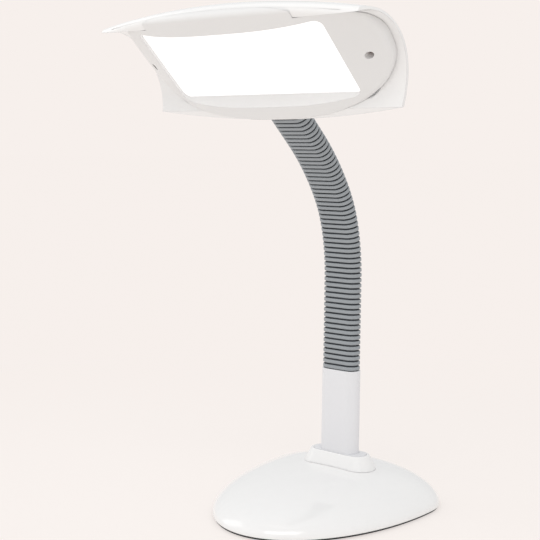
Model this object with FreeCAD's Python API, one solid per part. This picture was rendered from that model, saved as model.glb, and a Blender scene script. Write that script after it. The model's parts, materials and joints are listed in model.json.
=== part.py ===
import FreeCAD, Part
import math
import os

# Light therapy desk lamp: an egg-shaped weighted foot, a flat stem, a ribbed bendable neck
# and a wide hooded lamp head. All sizes are millimetres.
# Frame: origin on the resting surface under the stem's axis, +X across the lamp, the lit
# face looks towards -Y and down, +Z is up.

# Base outline, as two half ellipses that meet on the widest line
BASE_HALF_WIDTH = 99.3
BASE_FRONT_REACH = 163.7
BASE_REAR_REACH = 65.1
BASE_WIDEST_Y = 10.6
DOME_RISE = 28.2
DOME_RADIAL_POWER = 2.59
DOME_RISE_POWER = 0.57
SKIRT_HEIGHT = 1.6
COVER_WALL = 2.5
FOOT_HEIGHT = 1.5
FOOT_RADIUS = 8.0
FOOT_RING_INSET = 22.0
PLATE_THICKNESS = 2.0
PLATE_INSET = 1.2
WEIGHT_THICKNESS = 7.0
WEIGHT_INSET = 20.0

# Collar and stem
STEM_WIDTH = 40.9
STEM_DEPTH = 18.5
STEM_WALL = 2.5
STEM_TOP_Z = 126.8
COLLAR_TOP_Z = 45.2
COLLAR_TOP_WIDTH = 64.0
COLLAR_TOP_DEPTH = 23.5
COLLAR_FOOT_WIDTH = 78.4
COLLAR_FOOT_DEPTH = 35.1
COLLAR_FOOT_Z = 31.5
COLLAR_ROUND = 1.2
INSERT_RIM = 1.5
INSERT_DEPTH = 6.0
INSERT_PROUD = 0.4
SOCKET_WALL = 2.5
SOCKET_HEIGHT = 14.0
SOCKET_FLANGE_MARGIN = 14.0
SOCKET_FLANGE_THICKNESS = 2.5

# Screws
SCREW_RADIUS = 1.5
SCREW_HEAD_RADIUS = 3.0
SCREW_HEAD_HEIGHT = 1.2
SCREW_BITE = 8.0
BOSS_WALL = 2.4
RECESS_SCREW_RADIUS = 3.4

# Neck: ribs of one pitch along a centre line of one straight run and three bends
RIB_PITCH = 5.0
RIB_GAP = 1.5
RIB_WIDTH = 39.4
RIB_DEPTH = 18.4
RIB_ROUND = 0.8
GROOVE_DEPTH = 1.6
SLEEVE_WALL = 1.0
RIBS_PER_LINK = 4
MOVING_LINKS = 11
UPPER_END_RIBS = 5
NECK_STRAIGHT = 88.1
NECK_BENDS = [(50.8, 15.4), (34.6, 16.1)]
HEAD_TILT = 48.6
LIP_REACH = 1.9
LIP_WALL = 0.7
LIP_CLEARANCE = 0.6
LIP_END_CLEARANCE = 1.4
WEB_SETBACK = 5.5
WIRE_WAY_RADIUS = 3.0
WIRE_WAY_X = 11.5
PIVOT_BALL_RADIUS = 3.6
PIVOT_PIN_RADIUS = 1.3
EAR_RADIUS = 3.0
SIDE_EAR_INNER = 4.5
SIDE_EAR_THICKNESS = 2.0
FRONT_EAR_INNER = 4.0
FRONT_EAR_THICKNESS = 1.6
NECK_TAIL = 26.0

# Head. In the head's own frame X is across, -Y is out of the lit face and +Z is along the
# neck. The hood is a barrel about an axis parallel to X that lies in front of the face.
FACE_AHEAD_OF_NECK = 15.2
FACE_ABOVE_LAST_RIB = 79.4
AXIS_AHEAD = 25.0
AXIS_Z = -1.3
BARREL_RADIUS = 70.3
BARREL_END_RADIUS = 58.3
HOOD_HALF_WIDTH = 138.5
HOOD_TOP_HALF_WIDTH = 131.5
HOOD_BOTTOM_HALF_WIDTH = 125.0
HOOD_OUTLINE_REACH = 72.0
COVE_RADIUS = 56.0
HOOD_WALL = 2.5
LIP_BEHIND_FACE = 1.0
NOSE_ROUND = 5.0
CHIN_ROUND = 3.0
OPENING_SEAT = 4.0
OPENING_HALF_WIDTH = 114.0
OPENING_CORNER = 16.0

# Front panel
PANEL_HALF_WIDTH = 131.7
PANEL_HALF_HEIGHT = 60.3
PANEL_CENTRE_Z = 2.2
PANEL_POWER = 2.8
PANEL_PROUD = 5.5
PANEL_END_DROP = 28.0
PANEL_DROP_POWER = 3.0
PANEL_WALL = 2.5
PANEL_EDGE_ROUND = 4.0
PANEL_CLEARANCE = 0.3
LAP_HALF_WIDTH = 78.0
WINDOW_HALF_WIDTH = 97.5
WINDOW_HALF_HEIGHT = 40.2
WINDOW_FRONT_HALF_WIDTH = 96.0
WINDOW_FRONT_TOP = 42.5
WINDOW_FRONT_BOTTOM = -41.5
WINDOW_CORNER = 7.0
WINDOW_DEPTH = 9.0
WINDOW_FRAME = 2.0
PANEL_SCREW_X = 116.0
PANEL_SCREW_Z = -6.0

# Light source
DIFFUSER_THICKNESS = 2.5
DIFFUSER_END_MARGIN = 1.5
DIFFUSER_EDGE_MARGIN = 3.0
TUBE_RADIUS = 7.0
TUBE_INNER_Z = 8.0
TUBE_OUTER_Z = 23.0
TUBE_BEHIND_FACE = 19.5
TUBE_FAR_X = -97.0
CAP_NEAR_X = 86.0
CAP_LENGTH = 12.0
CAP_MARGIN = 1.0
PIN_RADIUS = 1.2
PIN_LENGTH = 7.0
HOLDER_LENGTH = 12.0
HOLDER_HALF_HEIGHT = 20.0
HOLDER_DEPTH = 11.0
REFLECTOR_SHEET = 0.8
REFLECTOR_HALF_LENGTH = 84.0
REFLECTOR_GAP = 0.7

# Switch in the back of the head
SWITCH_X = -96.0
SWITCH_HALF_LENGTH = 9.0
SWITCH_HALF_HEIGHT = 6.0
SWITCH_RIM = 1.5
SWITCH_WALL = 1.2
SWITCH_FACE_BEHIND = 37.0
SWITCH_DEPTH = 10.0
ROCKER_TILT = 8.0
ROCKER_CLEARANCE = 0.35
ROCKER_END_CLEARANCE = 0.75
ROCKER_PIN_RADIUS = 1.2

# General clearances
RUNNING_FIT = 0.07
SLIP_FIT = 0.3
SEAT_GAP = 0.1
BIG = 400.0

V = FreeCAD.Vector


def save(name, shape):
    """Write one node's solids to its own file."""
    shape.exportStep(os.path.join("parts", name + ".step"))


def cylinder(radius, start, direction, length):
    return Part.makeCylinder(radius, length, start, direction)


def box(low, high):
    size = high - low
    return Part.makeBox(size.x, size.y, size.z, low)


def fuse(shapes):
    whole = shapes[0].multiFuse(shapes[1:])
    return whole.removeSplitter()


def cut(body, tools):
    return body.cut(Part.makeCompound(tools)).removeSplitter()


def stadium_wire(half_width, half_depth):
    """Two half circles joined by straight sides, in the XY plane."""
    straight = half_width - half_depth
    corners = [V(-straight, -half_depth, 0), V(straight, -half_depth, 0)]
    corners += [V(straight, half_depth, 0), V(-straight, half_depth, 0)]
    front = Part.LineSegment(corners[0], corners[1])
    right = Part.Arc(corners[1], V(half_width, 0, 0), corners[2])
    back = Part.LineSegment(corners[2], corners[3])
    left = Part.Arc(corners[3], V(-half_width, 0, 0), corners[0])
    return Part.Wire([edge.toShape() for edge in (front, right, back, left)])


def stadium(half_width, half_depth, low, high):
    wire = stadium_wire(half_width, half_depth)
    wire.translate(V(0, 0, low))
    return Part.Face(wire).extrude(V(0, 0, high - low))


# Base


def dome_profile(radius, bottom, shoulder, rise):
    """Half section of the foot: flat floor, short skirt and the domed top."""
    steps = 12
    points = []
    for i in range(steps + 1):
        angle = math.pi / 2 * (1 - i / steps)
        out = math.sin(angle) ** (2 / DOME_RADIAL_POWER)
        up = math.cos(angle) ** (2 * DOME_RISE_POWER)
        points.append(V(radius * out, 0, shoulder + rise * up))
    dome = Part.BSplineCurve()
    dome.interpolate(points)
    floor = Part.LineSegment(V(0, 0, bottom), V(radius, 0, bottom))
    skirt = Part.LineSegment(V(radius, 0, bottom), points[0])
    axis = Part.LineSegment(points[-1], V(0, 0, bottom))
    return Part.Face(Part.Wire([edge.toShape() for edge in (floor, skirt, dome, axis)]))


def slab_profile(radius, bottom, top):
    corners = [V(0, 0, bottom), V(radius, 0, bottom), V(radius, 0, top), V(0, 0, top), V(0, 0, bottom)]
    return Part.Face(Part.makePolygon(corners))


def egg(profile, inset):
    """Turn a half section of radius BASE_HALF_WIDTH less inset into the egg-shaped outline."""
    halves = []
    width = BASE_HALF_WIDTH - inset
    for reach, spin in ((BASE_FRONT_REACH, -180), (BASE_REAR_REACH, 180)):
        half = profile.revolve(V(0, 0, 0), V(0, 0, 1), spin)
        stretch = FreeCAD.Matrix()
        stretch.scale(V(1, (reach - inset) / width, 1))
        half = half.transformGeometry(stretch)
        half.translate(V(0, BASE_WIDEST_Y, 0))
        halves.append(half)
    return fuse(halves)


PLATE_LOW = FOOT_HEIGHT
PLATE_TOP = PLATE_LOW + PLATE_THICKNESS
SHOULDER_Z = PLATE_TOP + SKIRT_HEIGHT
WEIGHT_TOP = PLATE_TOP + WEIGHT_THICKNESS


def dome(inset, bottom):
    width = BASE_HALF_WIDTH - inset
    return egg(dome_profile(width, bottom, SHOULDER_Z, DOME_RISE - inset), inset)


def slab(inset, bottom, top):
    return egg(slab_profile(BASE_HALF_WIDTH - inset, bottom, top), inset)


def ring_points(inset, angles):
    """Points on the outline drawn in by inset, at angles from the front."""
    points = []
    for degrees in angles:
        angle = math.radians(degrees)
        reach = BASE_FRONT_REACH if math.cos(angle) > 0 else BASE_REAR_REACH
        x = (BASE_HALF_WIDTH - inset) * math.sin(angle)
        points.append(V(x, BASE_WIDEST_Y - (reach - inset) * math.cos(angle), 0))
    return points


FOOT_POINTS = ring_points(FOOT_RING_INSET, (28, -28, 128, -128)) + [V(0, 0, 0)]
BASE_SCREW_INSET = WEIGHT_INSET - SCREW_HEAD_RADIUS - BOSS_WALL
BASE_SCREW_POINTS = ring_points(BASE_SCREW_INSET, (0, 62, -62, 150, -150))
BOSS_RADIUS = SCREW_RADIUS + BOSS_WALL


def make_base_cover():
    inner = dome(COVER_WALL, PLATE_TOP)
    shell = dome(0, PLATE_TOP).cut(inner)
    bosses = []
    for point in BASE_SCREW_POINTS:
        post = cylinder(BOSS_RADIUS, point + V(0, 0, PLATE_TOP), V(0, 0, 1), BIG)
        bosses.append(post.common(dome(COVER_WALL / 2, PLATE_TOP)))
    shell = fuse([shell] + bosses)
    tools = [stadium(STEM_WIDTH / 2 + SLIP_FIT, STEM_DEPTH / 2 + SLIP_FIT, PLATE_TOP, BIG)]
    for point in BASE_SCREW_POINTS:
        depth = SCREW_BITE + SLIP_FIT
        tools.append(cylinder(SCREW_RADIUS + RUNNING_FIT, point + V(0, 0, PLATE_TOP), V(0, 0, 1), depth))
    tools.append(cylinder(GLAND_RADIUS + SLIP_FIT, GLAND_INNER, V(0, 1, 0), BIG))
    return cut(shell, tools)


def make_base_plate():
    plate = slab(PLATE_INSET, PLATE_LOW, PLATE_TOP)
    tools = []
    for point in BASE_SCREW_POINTS:
        tools.append(cylinder(SCREW_RADIUS + SLIP_FIT, point, V(0, 0, 1), PLATE_TOP + 1))
    return cut(plate, tools)


def make_base_weight():
    body = slab(WEIGHT_INSET, PLATE_TOP, WEIGHT_TOP)
    tools = []
    for point in BASE_SCREW_POINTS:
        tools.append(cylinder(BOSS_RADIUS + SLIP_FIT, point, V(0, 0, 1), BIG))
    for point in SOCKET_SCREW_POINTS:
        start = point + V(0, 0, WEIGHT_TOP - SOCKET_SCREW_BITE)
        tools.append(cylinder(SCREW_RADIUS + RUNNING_FIT, start, V(0, 0, 1), BIG))
    return cut(body, tools)


def make_rubber_feet():
    feet = []
    for point in FOOT_POINTS:
        pad = cylinder(FOOT_RADIUS, point, V(0, 0, 1), FOOT_HEIGHT)
        rim = [edge for edge in pad.Edges if edge.BoundBox.ZMax < FOOT_HEIGHT / 2]
        feet.append(pad.makeChamfer(FOOT_HEIGHT / 4, rim))
    return Part.makeCompound(feet)


def screw(seat, direction, bite):
    """A pan-head screw: the head's underside is at seat, the shank runs along direction."""
    head = cylinder(SCREW_HEAD_RADIUS, seat - direction * SCREW_HEAD_HEIGHT, direction, SCREW_HEAD_HEIGHT)
    rim = [edge for edge in head.Edges if (edge.CenterOfMass - seat).dot(direction) < -SCREW_HEAD_HEIGHT / 2]
    head = head.makeFillet(SCREW_HEAD_HEIGHT / 2, [edge for edge in rim if edge.Closed])
    shank = cylinder(SCREW_RADIUS, seat, direction, bite)
    slot_low = seat - direction * SCREW_HEAD_HEIGHT
    slot = cylinder(SCREW_RADIUS / 2, slot_low, direction, SCREW_HEAD_HEIGHT / 2)
    return head.fuse(shank).cut(slot).removeSplitter()


def make_base_screws():
    bite = PLATE_THICKNESS + SCREW_BITE
    screws = [screw(point + V(0, 0, PLATE_LOW), V(0, 0, 1), bite) for point in BASE_SCREW_POINTS]
    return Part.makeCompound(screws)


# Mains gland in the rear of the foot
GLAND_RADIUS = 4.2
GLAND_BORE = 3.2
GLAND_FLANGE_RADIUS = 6.5
GLAND_FLANGE_LENGTH = 5.0
GLAND_Z = 11.0
GLAND_NUT_LENGTH = 3.0
GLAND_INNER = V(0, BASE_WIDEST_Y + BASE_REAR_REACH - 16.0, GLAND_Z)
GLAND_OUTER_Y = BASE_WIDEST_Y + BASE_REAR_REACH - 0.4


def make_cord_gland():
    barrel = cylinder(GLAND_RADIUS, GLAND_INNER, V(0, 1, 0), GLAND_OUTER_Y - GLAND_INNER.y)
    flange_start = V(0, GLAND_OUTER_Y - GLAND_FLANGE_LENGTH, GLAND_Z)
    flange = cylinder(GLAND_FLANGE_RADIUS, flange_start, V(0, 1, 0), GLAND_FLANGE_LENGTH)
    rim = [edge for edge in flange.Edges if edge.Closed and edge.CenterOfMass.y > GLAND_OUTER_Y - 1]
    flange = flange.makeFillet(1.0, rim).cut(dome(-SEAT_GAP, PLATE_TOP))
    bore = cylinder(GLAND_BORE, GLAND_INNER - V(0, 1, 0), V(0, 1, 0), BIG)
    return barrel.fuse(flange).cut(bore).removeSplitter()


def make_gland_nut():
    nut_start = GLAND_INNER + V(0, 2.0, 0)
    nut = cylinder(GLAND_FLANGE_RADIUS, nut_start, V(0, 1, 0), GLAND_NUT_LENGTH)
    return nut.cut(cylinder(GLAND_RADIUS + RUNNING_FIT, nut_start, V(0, 1, 0), GLAND_NUT_LENGTH))


# Ballast board
BOARD_HALF_WIDTH = 42.0
BOARD_HALF_LENGTH = 26.0
BOARD_Y = -78.0
BOARD_THICKNESS = 1.6
BOARD_STANDOFF = 3.0
STANDOFF_RADIUS = 3.0
BOARD_HOLE_INSET = 5.0
BOARD_LOW = WEIGHT_TOP + BOARD_STANDOFF
BOARD_TOP = BOARD_LOW + BOARD_THICKNESS


def board_corners():
    x = BOARD_HALF_WIDTH - BOARD_HOLE_INSET
    y = BOARD_HALF_LENGTH - BOARD_HOLE_INSET
    return [V(sx * x, BOARD_Y + sy * y, 0) for sx in (-1, 1) for sy in (-1, 1)]


def make_ballast_board():
    low = V(-BOARD_HALF_WIDTH, BOARD_Y - BOARD_HALF_LENGTH, BOARD_LOW)
    high = V(BOARD_HALF_WIDTH, BOARD_Y + BOARD_HALF_LENGTH, BOARD_TOP)
    holes = [cylinder(SCREW_RADIUS + SLIP_FIT, point, V(0, 0, 1), BIG) for point in board_corners()]
    return cut(box(low, high), holes)


def make_board_standoffs():
    posts = []
    for point in board_corners():
        start = point + V(0, 0, WEIGHT_TOP)
        post = cylinder(STANDOFF_RADIUS, start, V(0, 0, 1), BOARD_STANDOFF)
        posts.append(post.cut(cylinder(SCREW_RADIUS + RUNNING_FIT, start, V(0, 0, 1), BOARD_STANDOFF)))
    return Part.makeCompound(posts)


def make_board_screws():
    down = V(0, 0, -1)
    bite = BOARD_THICKNESS + BOARD_STANDOFF - SLIP_FIT
    return Part.makeCompound([screw(point + V(0, 0, BOARD_TOP), down, bite) for point in board_corners()])


def block(x, y, half_x, half_y, height):
    """A rectangular component standing on the board."""
    low = V(x - half_x, BOARD_Y + y - half_y, BOARD_TOP)
    return box(low, V(x + half_x, BOARD_Y + y + half_y, BOARD_TOP + height))


def make_ballast_choke():
    core = block(-12.0, 0.0, 11.0, 9.0, 9.5)
    winding = block(-12.0, 0.0, 7.0, 11.0, 8.0)
    return core.fuse(winding).removeSplitter()


def make_ballast_capacitors():
    cans = []
    for x, radius, height in ((12.0, 6.0, 9.0), (27.0, 4.5, 8.0)):
        start = V(x, BOARD_Y - 6.0, BOARD_TOP)
        cans.append(cylinder(radius, start, V(0, 0, 1), height))
    for x in (8.0, 18.0, 28.0):
        cans.append(block(x, 12.0, 3.5, 2.5, 8.0))
    return Part.makeCompound(cans)


def make_board_connectors():
    return Part.makeCompound([block(-33.0, 4.0, 3.5, 8.0, 8.0), block(36.5, 2.0, 3.0, 9.0, 8.0)])


# Collar, insert, stem and stem socket
SOCKET_HALF_WIDTH = STEM_WIDTH / 2 + SLIP_FIT + SOCKET_WALL
SOCKET_HALF_DEPTH = STEM_DEPTH / 2 + SLIP_FIT + SOCKET_WALL
SOCKET_SCREW_BITE = 5.0
SOCKET_SCREW_X = SOCKET_HALF_WIDTH - SOCKET_HALF_DEPTH
SOCKET_SCREW_Y = SOCKET_HALF_DEPTH + SOCKET_FLANGE_MARGIN / 2
SOCKET_SCREW_POINTS = [V(sx * SOCKET_SCREW_X, sy * SOCKET_SCREW_Y, 0) for sx in (-1, 1) for sy in (-1, 1)]
STEM_SCREW_Z = WEIGHT_TOP + SOCKET_HEIGHT - 2 * SCREW_HEAD_RADIUS


def make_collar():
    slope = (COLLAR_TOP_Z - COLLAR_FOOT_Z)
    run = (COLLAR_FOOT_WIDTH - COLLAR_TOP_WIDTH) / 2 / slope
    fall = (COLLAR_FOOT_DEPTH - COLLAR_TOP_DEPTH) / 2 / slope
    below = COLLAR_FOOT_Z - SHOULDER_Z
    foot = stadium_wire(COLLAR_FOOT_WIDTH / 2 + run * below, COLLAR_FOOT_DEPTH / 2 + fall * below)
    foot.translate(V(0, 0, SHOULDER_Z))
    top = stadium_wire(COLLAR_TOP_WIDTH / 2, COLLAR_TOP_DEPTH / 2)
    top.translate(V(0, 0, COLLAR_TOP_Z))
    body = Part.makeLoft([foot, top], True, True)
    body = body.cut(dome(-SEAT_GAP, PLATE_TOP))
    rim = [edge for edge in body.Edges if edge.BoundBox.ZMin > COLLAR_TOP_Z - SEAT_GAP]
    body = body.makeFillet(COLLAR_ROUND, rim)
    hole = stadium(STEM_WIDTH / 2 + SLIP_FIT, STEM_DEPTH / 2 + SLIP_FIT, 0, BIG)
    seat_low = COLLAR_TOP_Z - INSERT_DEPTH
    half_width = COLLAR_TOP_WIDTH / 2 - INSERT_RIM - COLLAR_ROUND
    half_depth = COLLAR_TOP_DEPTH / 2 - INSERT_RIM - COLLAR_ROUND / 2
    seat = stadium(half_width, half_depth + SLIP_FIT, seat_low, BIG)
    return cut(body, [hole, seat])


def make_stem_insert():
    half_width = COLLAR_TOP_WIDTH / 2 - INSERT_RIM - COLLAR_ROUND - SLIP_FIT
    half_depth = COLLAR_TOP_DEPTH / 2 - INSERT_RIM - COLLAR_ROUND / 2
    ring = stadium(half_width, half_depth, COLLAR_TOP_Z - INSERT_DEPTH, COLLAR_TOP_Z + INSERT_PROUD)
    rim = [edge for edge in ring.Edges if edge.BoundBox.ZMin > COLLAR_TOP_Z]
    ring = ring.makeFillet(INSERT_PROUD * 0.75, rim)
    hole = stadium(STEM_WIDTH / 2 + SEAT_GAP, STEM_DEPTH / 2 + SEAT_GAP, 0, BIG)
    return ring.cut(hole)


def make_stem():
    outer = stadium(STEM_WIDTH / 2, STEM_DEPTH / 2, WEIGHT_TOP, STEM_TOP_Z)
    bore = stadium(STEM_WIDTH / 2 - STEM_WALL, STEM_DEPTH / 2 - STEM_WALL, WEIGHT_TOP, STEM_TOP_Z)
    rim = [edge for edge in outer.Edges if edge.BoundBox.ZMin > STEM_TOP_Z - SEAT_GAP]
    outer = outer.makeFillet(STEM_WALL / 4, rim)
    holes = []
    for side in (-1, 1):
        start = V(side * SOCKET_SCREW_X, 0, STEM_SCREW_Z)
        holes.append(cylinder(SCREW_RADIUS + RUNNING_FIT, start, V(0, -1, 0), BIG))
    return cut(outer, [bore] + holes)


def make_stem_socket():
    tube = stadium(SOCKET_HALF_WIDTH, SOCKET_HALF_DEPTH, WEIGHT_TOP, WEIGHT_TOP + SOCKET_HEIGHT)
    half_width = SOCKET_HALF_WIDTH
    half_depth = SOCKET_HALF_DEPTH + SOCKET_FLANGE_MARGIN
    low = V(-half_width, -half_depth, WEIGHT_TOP)
    flange = box(low, V(half_width, half_depth, WEIGHT_TOP + SOCKET_FLANGE_THICKNESS))
    body = tube.fuse(flange).removeSplitter()
    tools = [stadium(STEM_WIDTH / 2 + SLIP_FIT, STEM_DEPTH / 2 + SLIP_FIT, 0, BIG)]
    for point in SOCKET_SCREW_POINTS:
        tools.append(cylinder(SCREW_RADIUS + SLIP_FIT, point, V(0, 0, 1), BIG))
    for side in (-1, 1):
        start = V(side * SOCKET_SCREW_X, 0, STEM_SCREW_Z)
        tools.append(cylinder(SCREW_RADIUS + SLIP_FIT, start, V(0, -1, 0), BIG))
    return cut(body, tools)


def make_socket_screws():
    screws = []
    bite = SOCKET_FLANGE_THICKNESS + SOCKET_SCREW_BITE - SLIP_FIT
    for point in SOCKET_SCREW_POINTS:
        seat = point + V(0, 0, WEIGHT_TOP + SOCKET_FLANGE_THICKNESS)
        screws.append(screw(seat, V(0, 0, -1), bite))
    for side in (-1, 1):
        seat = V(side * SOCKET_SCREW_X, -SOCKET_HALF_DEPTH, STEM_SCREW_Z)
        screws.append(screw(seat, V(0, 1, 0), SOCKET_WALL + SLIP_FIT + STEM_WALL))
    return Part.makeCompound(screws)


# Neck centre line
LINK_LENGTH = RIB_PITCH * RIBS_PER_LINK
JOINTS = MOVING_LINKS + 1
LAST_JOINT = LINK_LENGTH * JOINTS
NECK_END = LAST_JOINT + RIB_PITCH * UPPER_END_RIBS


def neck_runs():
    """Length and turn of each run up to the last joint, the last bend taking what is left."""
    runs = [(NECK_STRAIGHT, 0.0)] + NECK_BENDS
    left = LAST_JOINT - sum(length for length, turn in runs)
    runs.append((left, HEAD_TILT - sum(turn for length, turn in runs)))
    return runs


def neck_frame(station):
    """Placement on the centre line: local Z runs along the neck, local X is the lamp's X."""
    y, z, angle = 0.0, STEM_TOP_Z, 0.0
    left = station
    for length, turn in neck_runs():
        step = min(left, length)
        bend = math.radians(turn) * step / length
        if step > 0:
            chord = step if bend == 0 else 2 * step / bend * math.sin(bend / 2)
            y -= chord * math.sin(angle + bend / 2)
            z += chord * math.cos(angle + bend / 2)
        angle += bend
        left -= step
    y -= left * math.sin(angle)
    z += left * math.cos(angle)
    return FreeCAD.Placement(V(0, y, z), FreeCAD.Rotation(V(1, 0, 0), math.degrees(angle)))


def at_station(shape, station):
    moved = shape.copy()
    moved.Placement = neck_frame(station).multiply(moved.Placement)
    return moved


def swept_stadium(half_width, half_depth, stations):
    wires = [at_station(stadium_wire(half_width, half_depth), station) for station in stations]
    return Part.makeLoft(wires, True, True)


RIB_HALF = (RIB_PITCH - RIB_GAP) / 2
TUBE_HALF_WIDTH = RIB_WIDTH / 2 - GROOVE_DEPTH
TUBE_HALF_DEPTH = RIB_DEPTH / 2 - GROOVE_DEPTH
BORE_HALF_WIDTH = TUBE_HALF_WIDTH - SLEEVE_WALL
BORE_HALF_DEPTH = TUBE_HALF_DEPTH - SLEEVE_WALL


def rib():
    ring = stadium(RIB_WIDTH / 2, RIB_DEPTH / 2, -RIB_HALF, RIB_HALF)
    ends = [edge for edge in ring.Edges if edge.BoundBox.ZLength < RIB_HALF]
    return ring.makeFillet(RIB_ROUND, ends)


def stations_between(low, high, first, last):
    inner = []
    count = round((high - low) / RIB_PITCH)
    for i in range(1, count):
        inner.append(low + i * RIB_PITCH)
    return [first] + inner + [last]


def side_ears():
    """Ears either side of X that carry the pivot's cross pin, reaching up from the web."""
    ears = []
    for side in (-1, 1):
        x = side * (SIDE_EAR_INNER + SIDE_EAR_THICKNESS / 2)
        half = SIDE_EAR_THICKNESS / 2
        plate = box(V(x - half, -EAR_RADIUS, -WEB_SETBACK - SLEEVE_WALL), V(x + half, EAR_RADIUS, 0))
        tip = cylinder(EAR_RADIUS, V(x - half, 0, 0), V(1, 0, 0), SIDE_EAR_THICKNESS)
        ears.append(plate.fuse(tip))
    return ears


def front_ears():
    """Ears in front of and behind the pivot, reaching down from the web."""
    ears = []
    for side in (-1, 1):
        y = side * (FRONT_EAR_INNER + FRONT_EAR_THICKNESS / 2)
        half = FRONT_EAR_THICKNESS / 2
        plate = box(V(-EAR_RADIUS, y - half, 0), V(EAR_RADIUS, y + half, WEB_SETBACK + SLEEVE_WALL))
        tip = cylinder(EAR_RADIUS, V(0, y - half, 0), V(0, 1, 0), FRONT_EAR_THICKNESS)
        ears.append(plate.fuse(tip))
    return ears


def neck_section(low, high, joint_below, joint_above):
    """One ribbed sleeve with its inner web, its ears and the lip that covers the next gap."""
    tube_low = low + RIB_GAP / 2 if joint_below else low
    tube_high = high - RIB_GAP / 2 if joint_above else high
    tube = swept_stadium(TUBE_HALF_WIDTH, TUBE_HALF_DEPTH, stations_between(low, high, tube_low, tube_high))
    solids = [tube]
    for i in range(round((high - low) / RIB_PITCH)):
        solids.append(at_station(rib(), low + (i + 0.5) * RIB_PITCH))
    if joint_above:
        half_width = BORE_HALF_WIDTH + LIP_WALL
        half_depth = BORE_HALF_DEPTH + LIP_WALL
        solids.append(at_station(stadium(half_width, half_depth, -RIB_GAP, LIP_REACH), high))
    body = fuse(solids)
    over = LIP_REACH + RIB_GAP
    bore_stations = stations_between(low, high, low - over, high + over)
    body = body.cut(swept_stadium(BORE_HALF_WIDTH, BORE_HALF_DEPTH, bore_stations))
    if joint_below:
        half_width = BORE_HALF_WIDTH + LIP_WALL + LIP_CLEARANCE
        half_depth = BORE_HALF_DEPTH + LIP_WALL + LIP_CLEARANCE
        mouth = stadium(half_width, half_depth, 0, LIP_REACH + LIP_END_CLEARANCE)
        body = body.cut(at_station(mouth, low))
    web_low = low + WEB_SETBACK
    web_high = high - WEB_SETBACK
    web_width = BORE_HALF_WIDTH + SLEEVE_WALL / 2
    web_depth = BORE_HALF_DEPTH + SLEEVE_WALL / 2
    inner = [swept_stadium(web_width, web_depth, (web_low, web_high))]
    if joint_above:
        inner += [at_station(ear, high) for ear in side_ears()]
    if joint_below:
        inner += [at_station(ear, low) for ear in front_ears()]
    body = fuse([body] + inner)
    tools = []
    for side in (-1, 1):
        middle = (low + high) / 2
        way = cylinder(WIRE_WAY_RADIUS, V(side * WIRE_WAY_X, 0, -LINK_LENGTH), V(0, 0, 1), 2 * LINK_LENGTH)
        tools.append(at_station(way, middle))
    hole_radius = PIVOT_PIN_RADIUS + RUNNING_FIT
    reach = 2 * BORE_HALF_DEPTH
    if joint_above:
        tools.append(at_station(cylinder(hole_radius, V(-reach, 0, 0), V(1, 0, 0), 2 * reach), high))
    if joint_below:
        half = FRONT_EAR_INNER + FRONT_EAR_THICKNESS
        tools.append(at_station(cylinder(hole_radius, V(0, -half, 0), V(0, 1, 0), 2 * half), low))
    return cut(body, tools)


def neck_pivot(station):
    """The steel cross between two sections of the neck."""
    ball = Part.makeSphere(PIVOT_BALL_RADIUS)
    side_reach = SIDE_EAR_INNER + SIDE_EAR_THICKNESS
    side_pin = cylinder(PIVOT_PIN_RADIUS, V(-side_reach, 0, 0), V(1, 0, 0), 2 * side_reach)
    front_reach = FRONT_EAR_INNER + FRONT_EAR_THICKNESS
    front_pin = cylinder(PIVOT_PIN_RADIUS, V(0, -front_reach, 0), V(0, 1, 0), 2 * front_reach)
    return at_station(fuse([ball, side_pin, front_pin]), station)


def make_neck_end_lower():
    section = neck_section(0, LINK_LENGTH, False, True)
    half_width = STEM_WIDTH / 2 - STEM_WALL - SLIP_FIT
    half_depth = STEM_DEPTH / 2 - STEM_WALL - SLIP_FIT
    tail = stadium(half_width, half_depth, STEM_TOP_Z - NECK_TAIL, STEM_TOP_Z + WEB_SETBACK)
    bore = stadium(half_width - STEM_WALL / 2, half_depth - STEM_WALL / 2, 0, BIG)
    return section.fuse(tail.cut(bore)).removeSplitter()


def make_neck_end_upper():
    return neck_section(LAST_JOINT, NECK_END, True, False)


# Head frame
def head_place(shape):
    """Move a shape from the head's own frame to its place on the neck."""
    end = neck_frame(NECK_END)
    offset = FreeCAD.Placement(V(0, -FACE_AHEAD_OF_NECK, FACE_ABOVE_LAST_RIB), FreeCAD.Rotation())
    moved = shape.copy()
    moved.Placement = end.multiply(offset).multiply(moved.Placement)
    return moved


def barrel_radius(x, inset):
    fall = BARREL_RADIUS - BARREL_END_RADIUS
    bow = (HOOD_HALF_WIDTH ** 2 + fall ** 2) / (2 * fall)
    return BARREL_RADIUS - (bow - math.sqrt(bow ** 2 - x ** 2)) - inset


def hood_barrel(inset):
    reach = HOOD_HALF_WIDTH + 2 * HOOD_WALL
    end = barrel_radius(reach, inset)
    start, middle, finish = V(-reach, end, 0), V(0, barrel_radius(0, inset), 0), V(reach, end, 0)
    bow = Part.Arc(start, middle, finish).toShape()
    sides = Part.makePolygon([finish, V(reach, 0, 0), V(-reach, 0, 0), start])
    face = Part.Face(Part.Wire([bow] + sides.Edges))
    solid = face.revolve(V(0, 0, 0), V(1, 0, 0), 360)
    solid.translate(V(0, -AXIS_AHEAD, AXIS_Z))
    return solid


def cove(radius):
    return cylinder(radius, V(-BIG, -AXIS_AHEAD, AXIS_Z), V(1, 0, 0), 2 * BIG)


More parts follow.
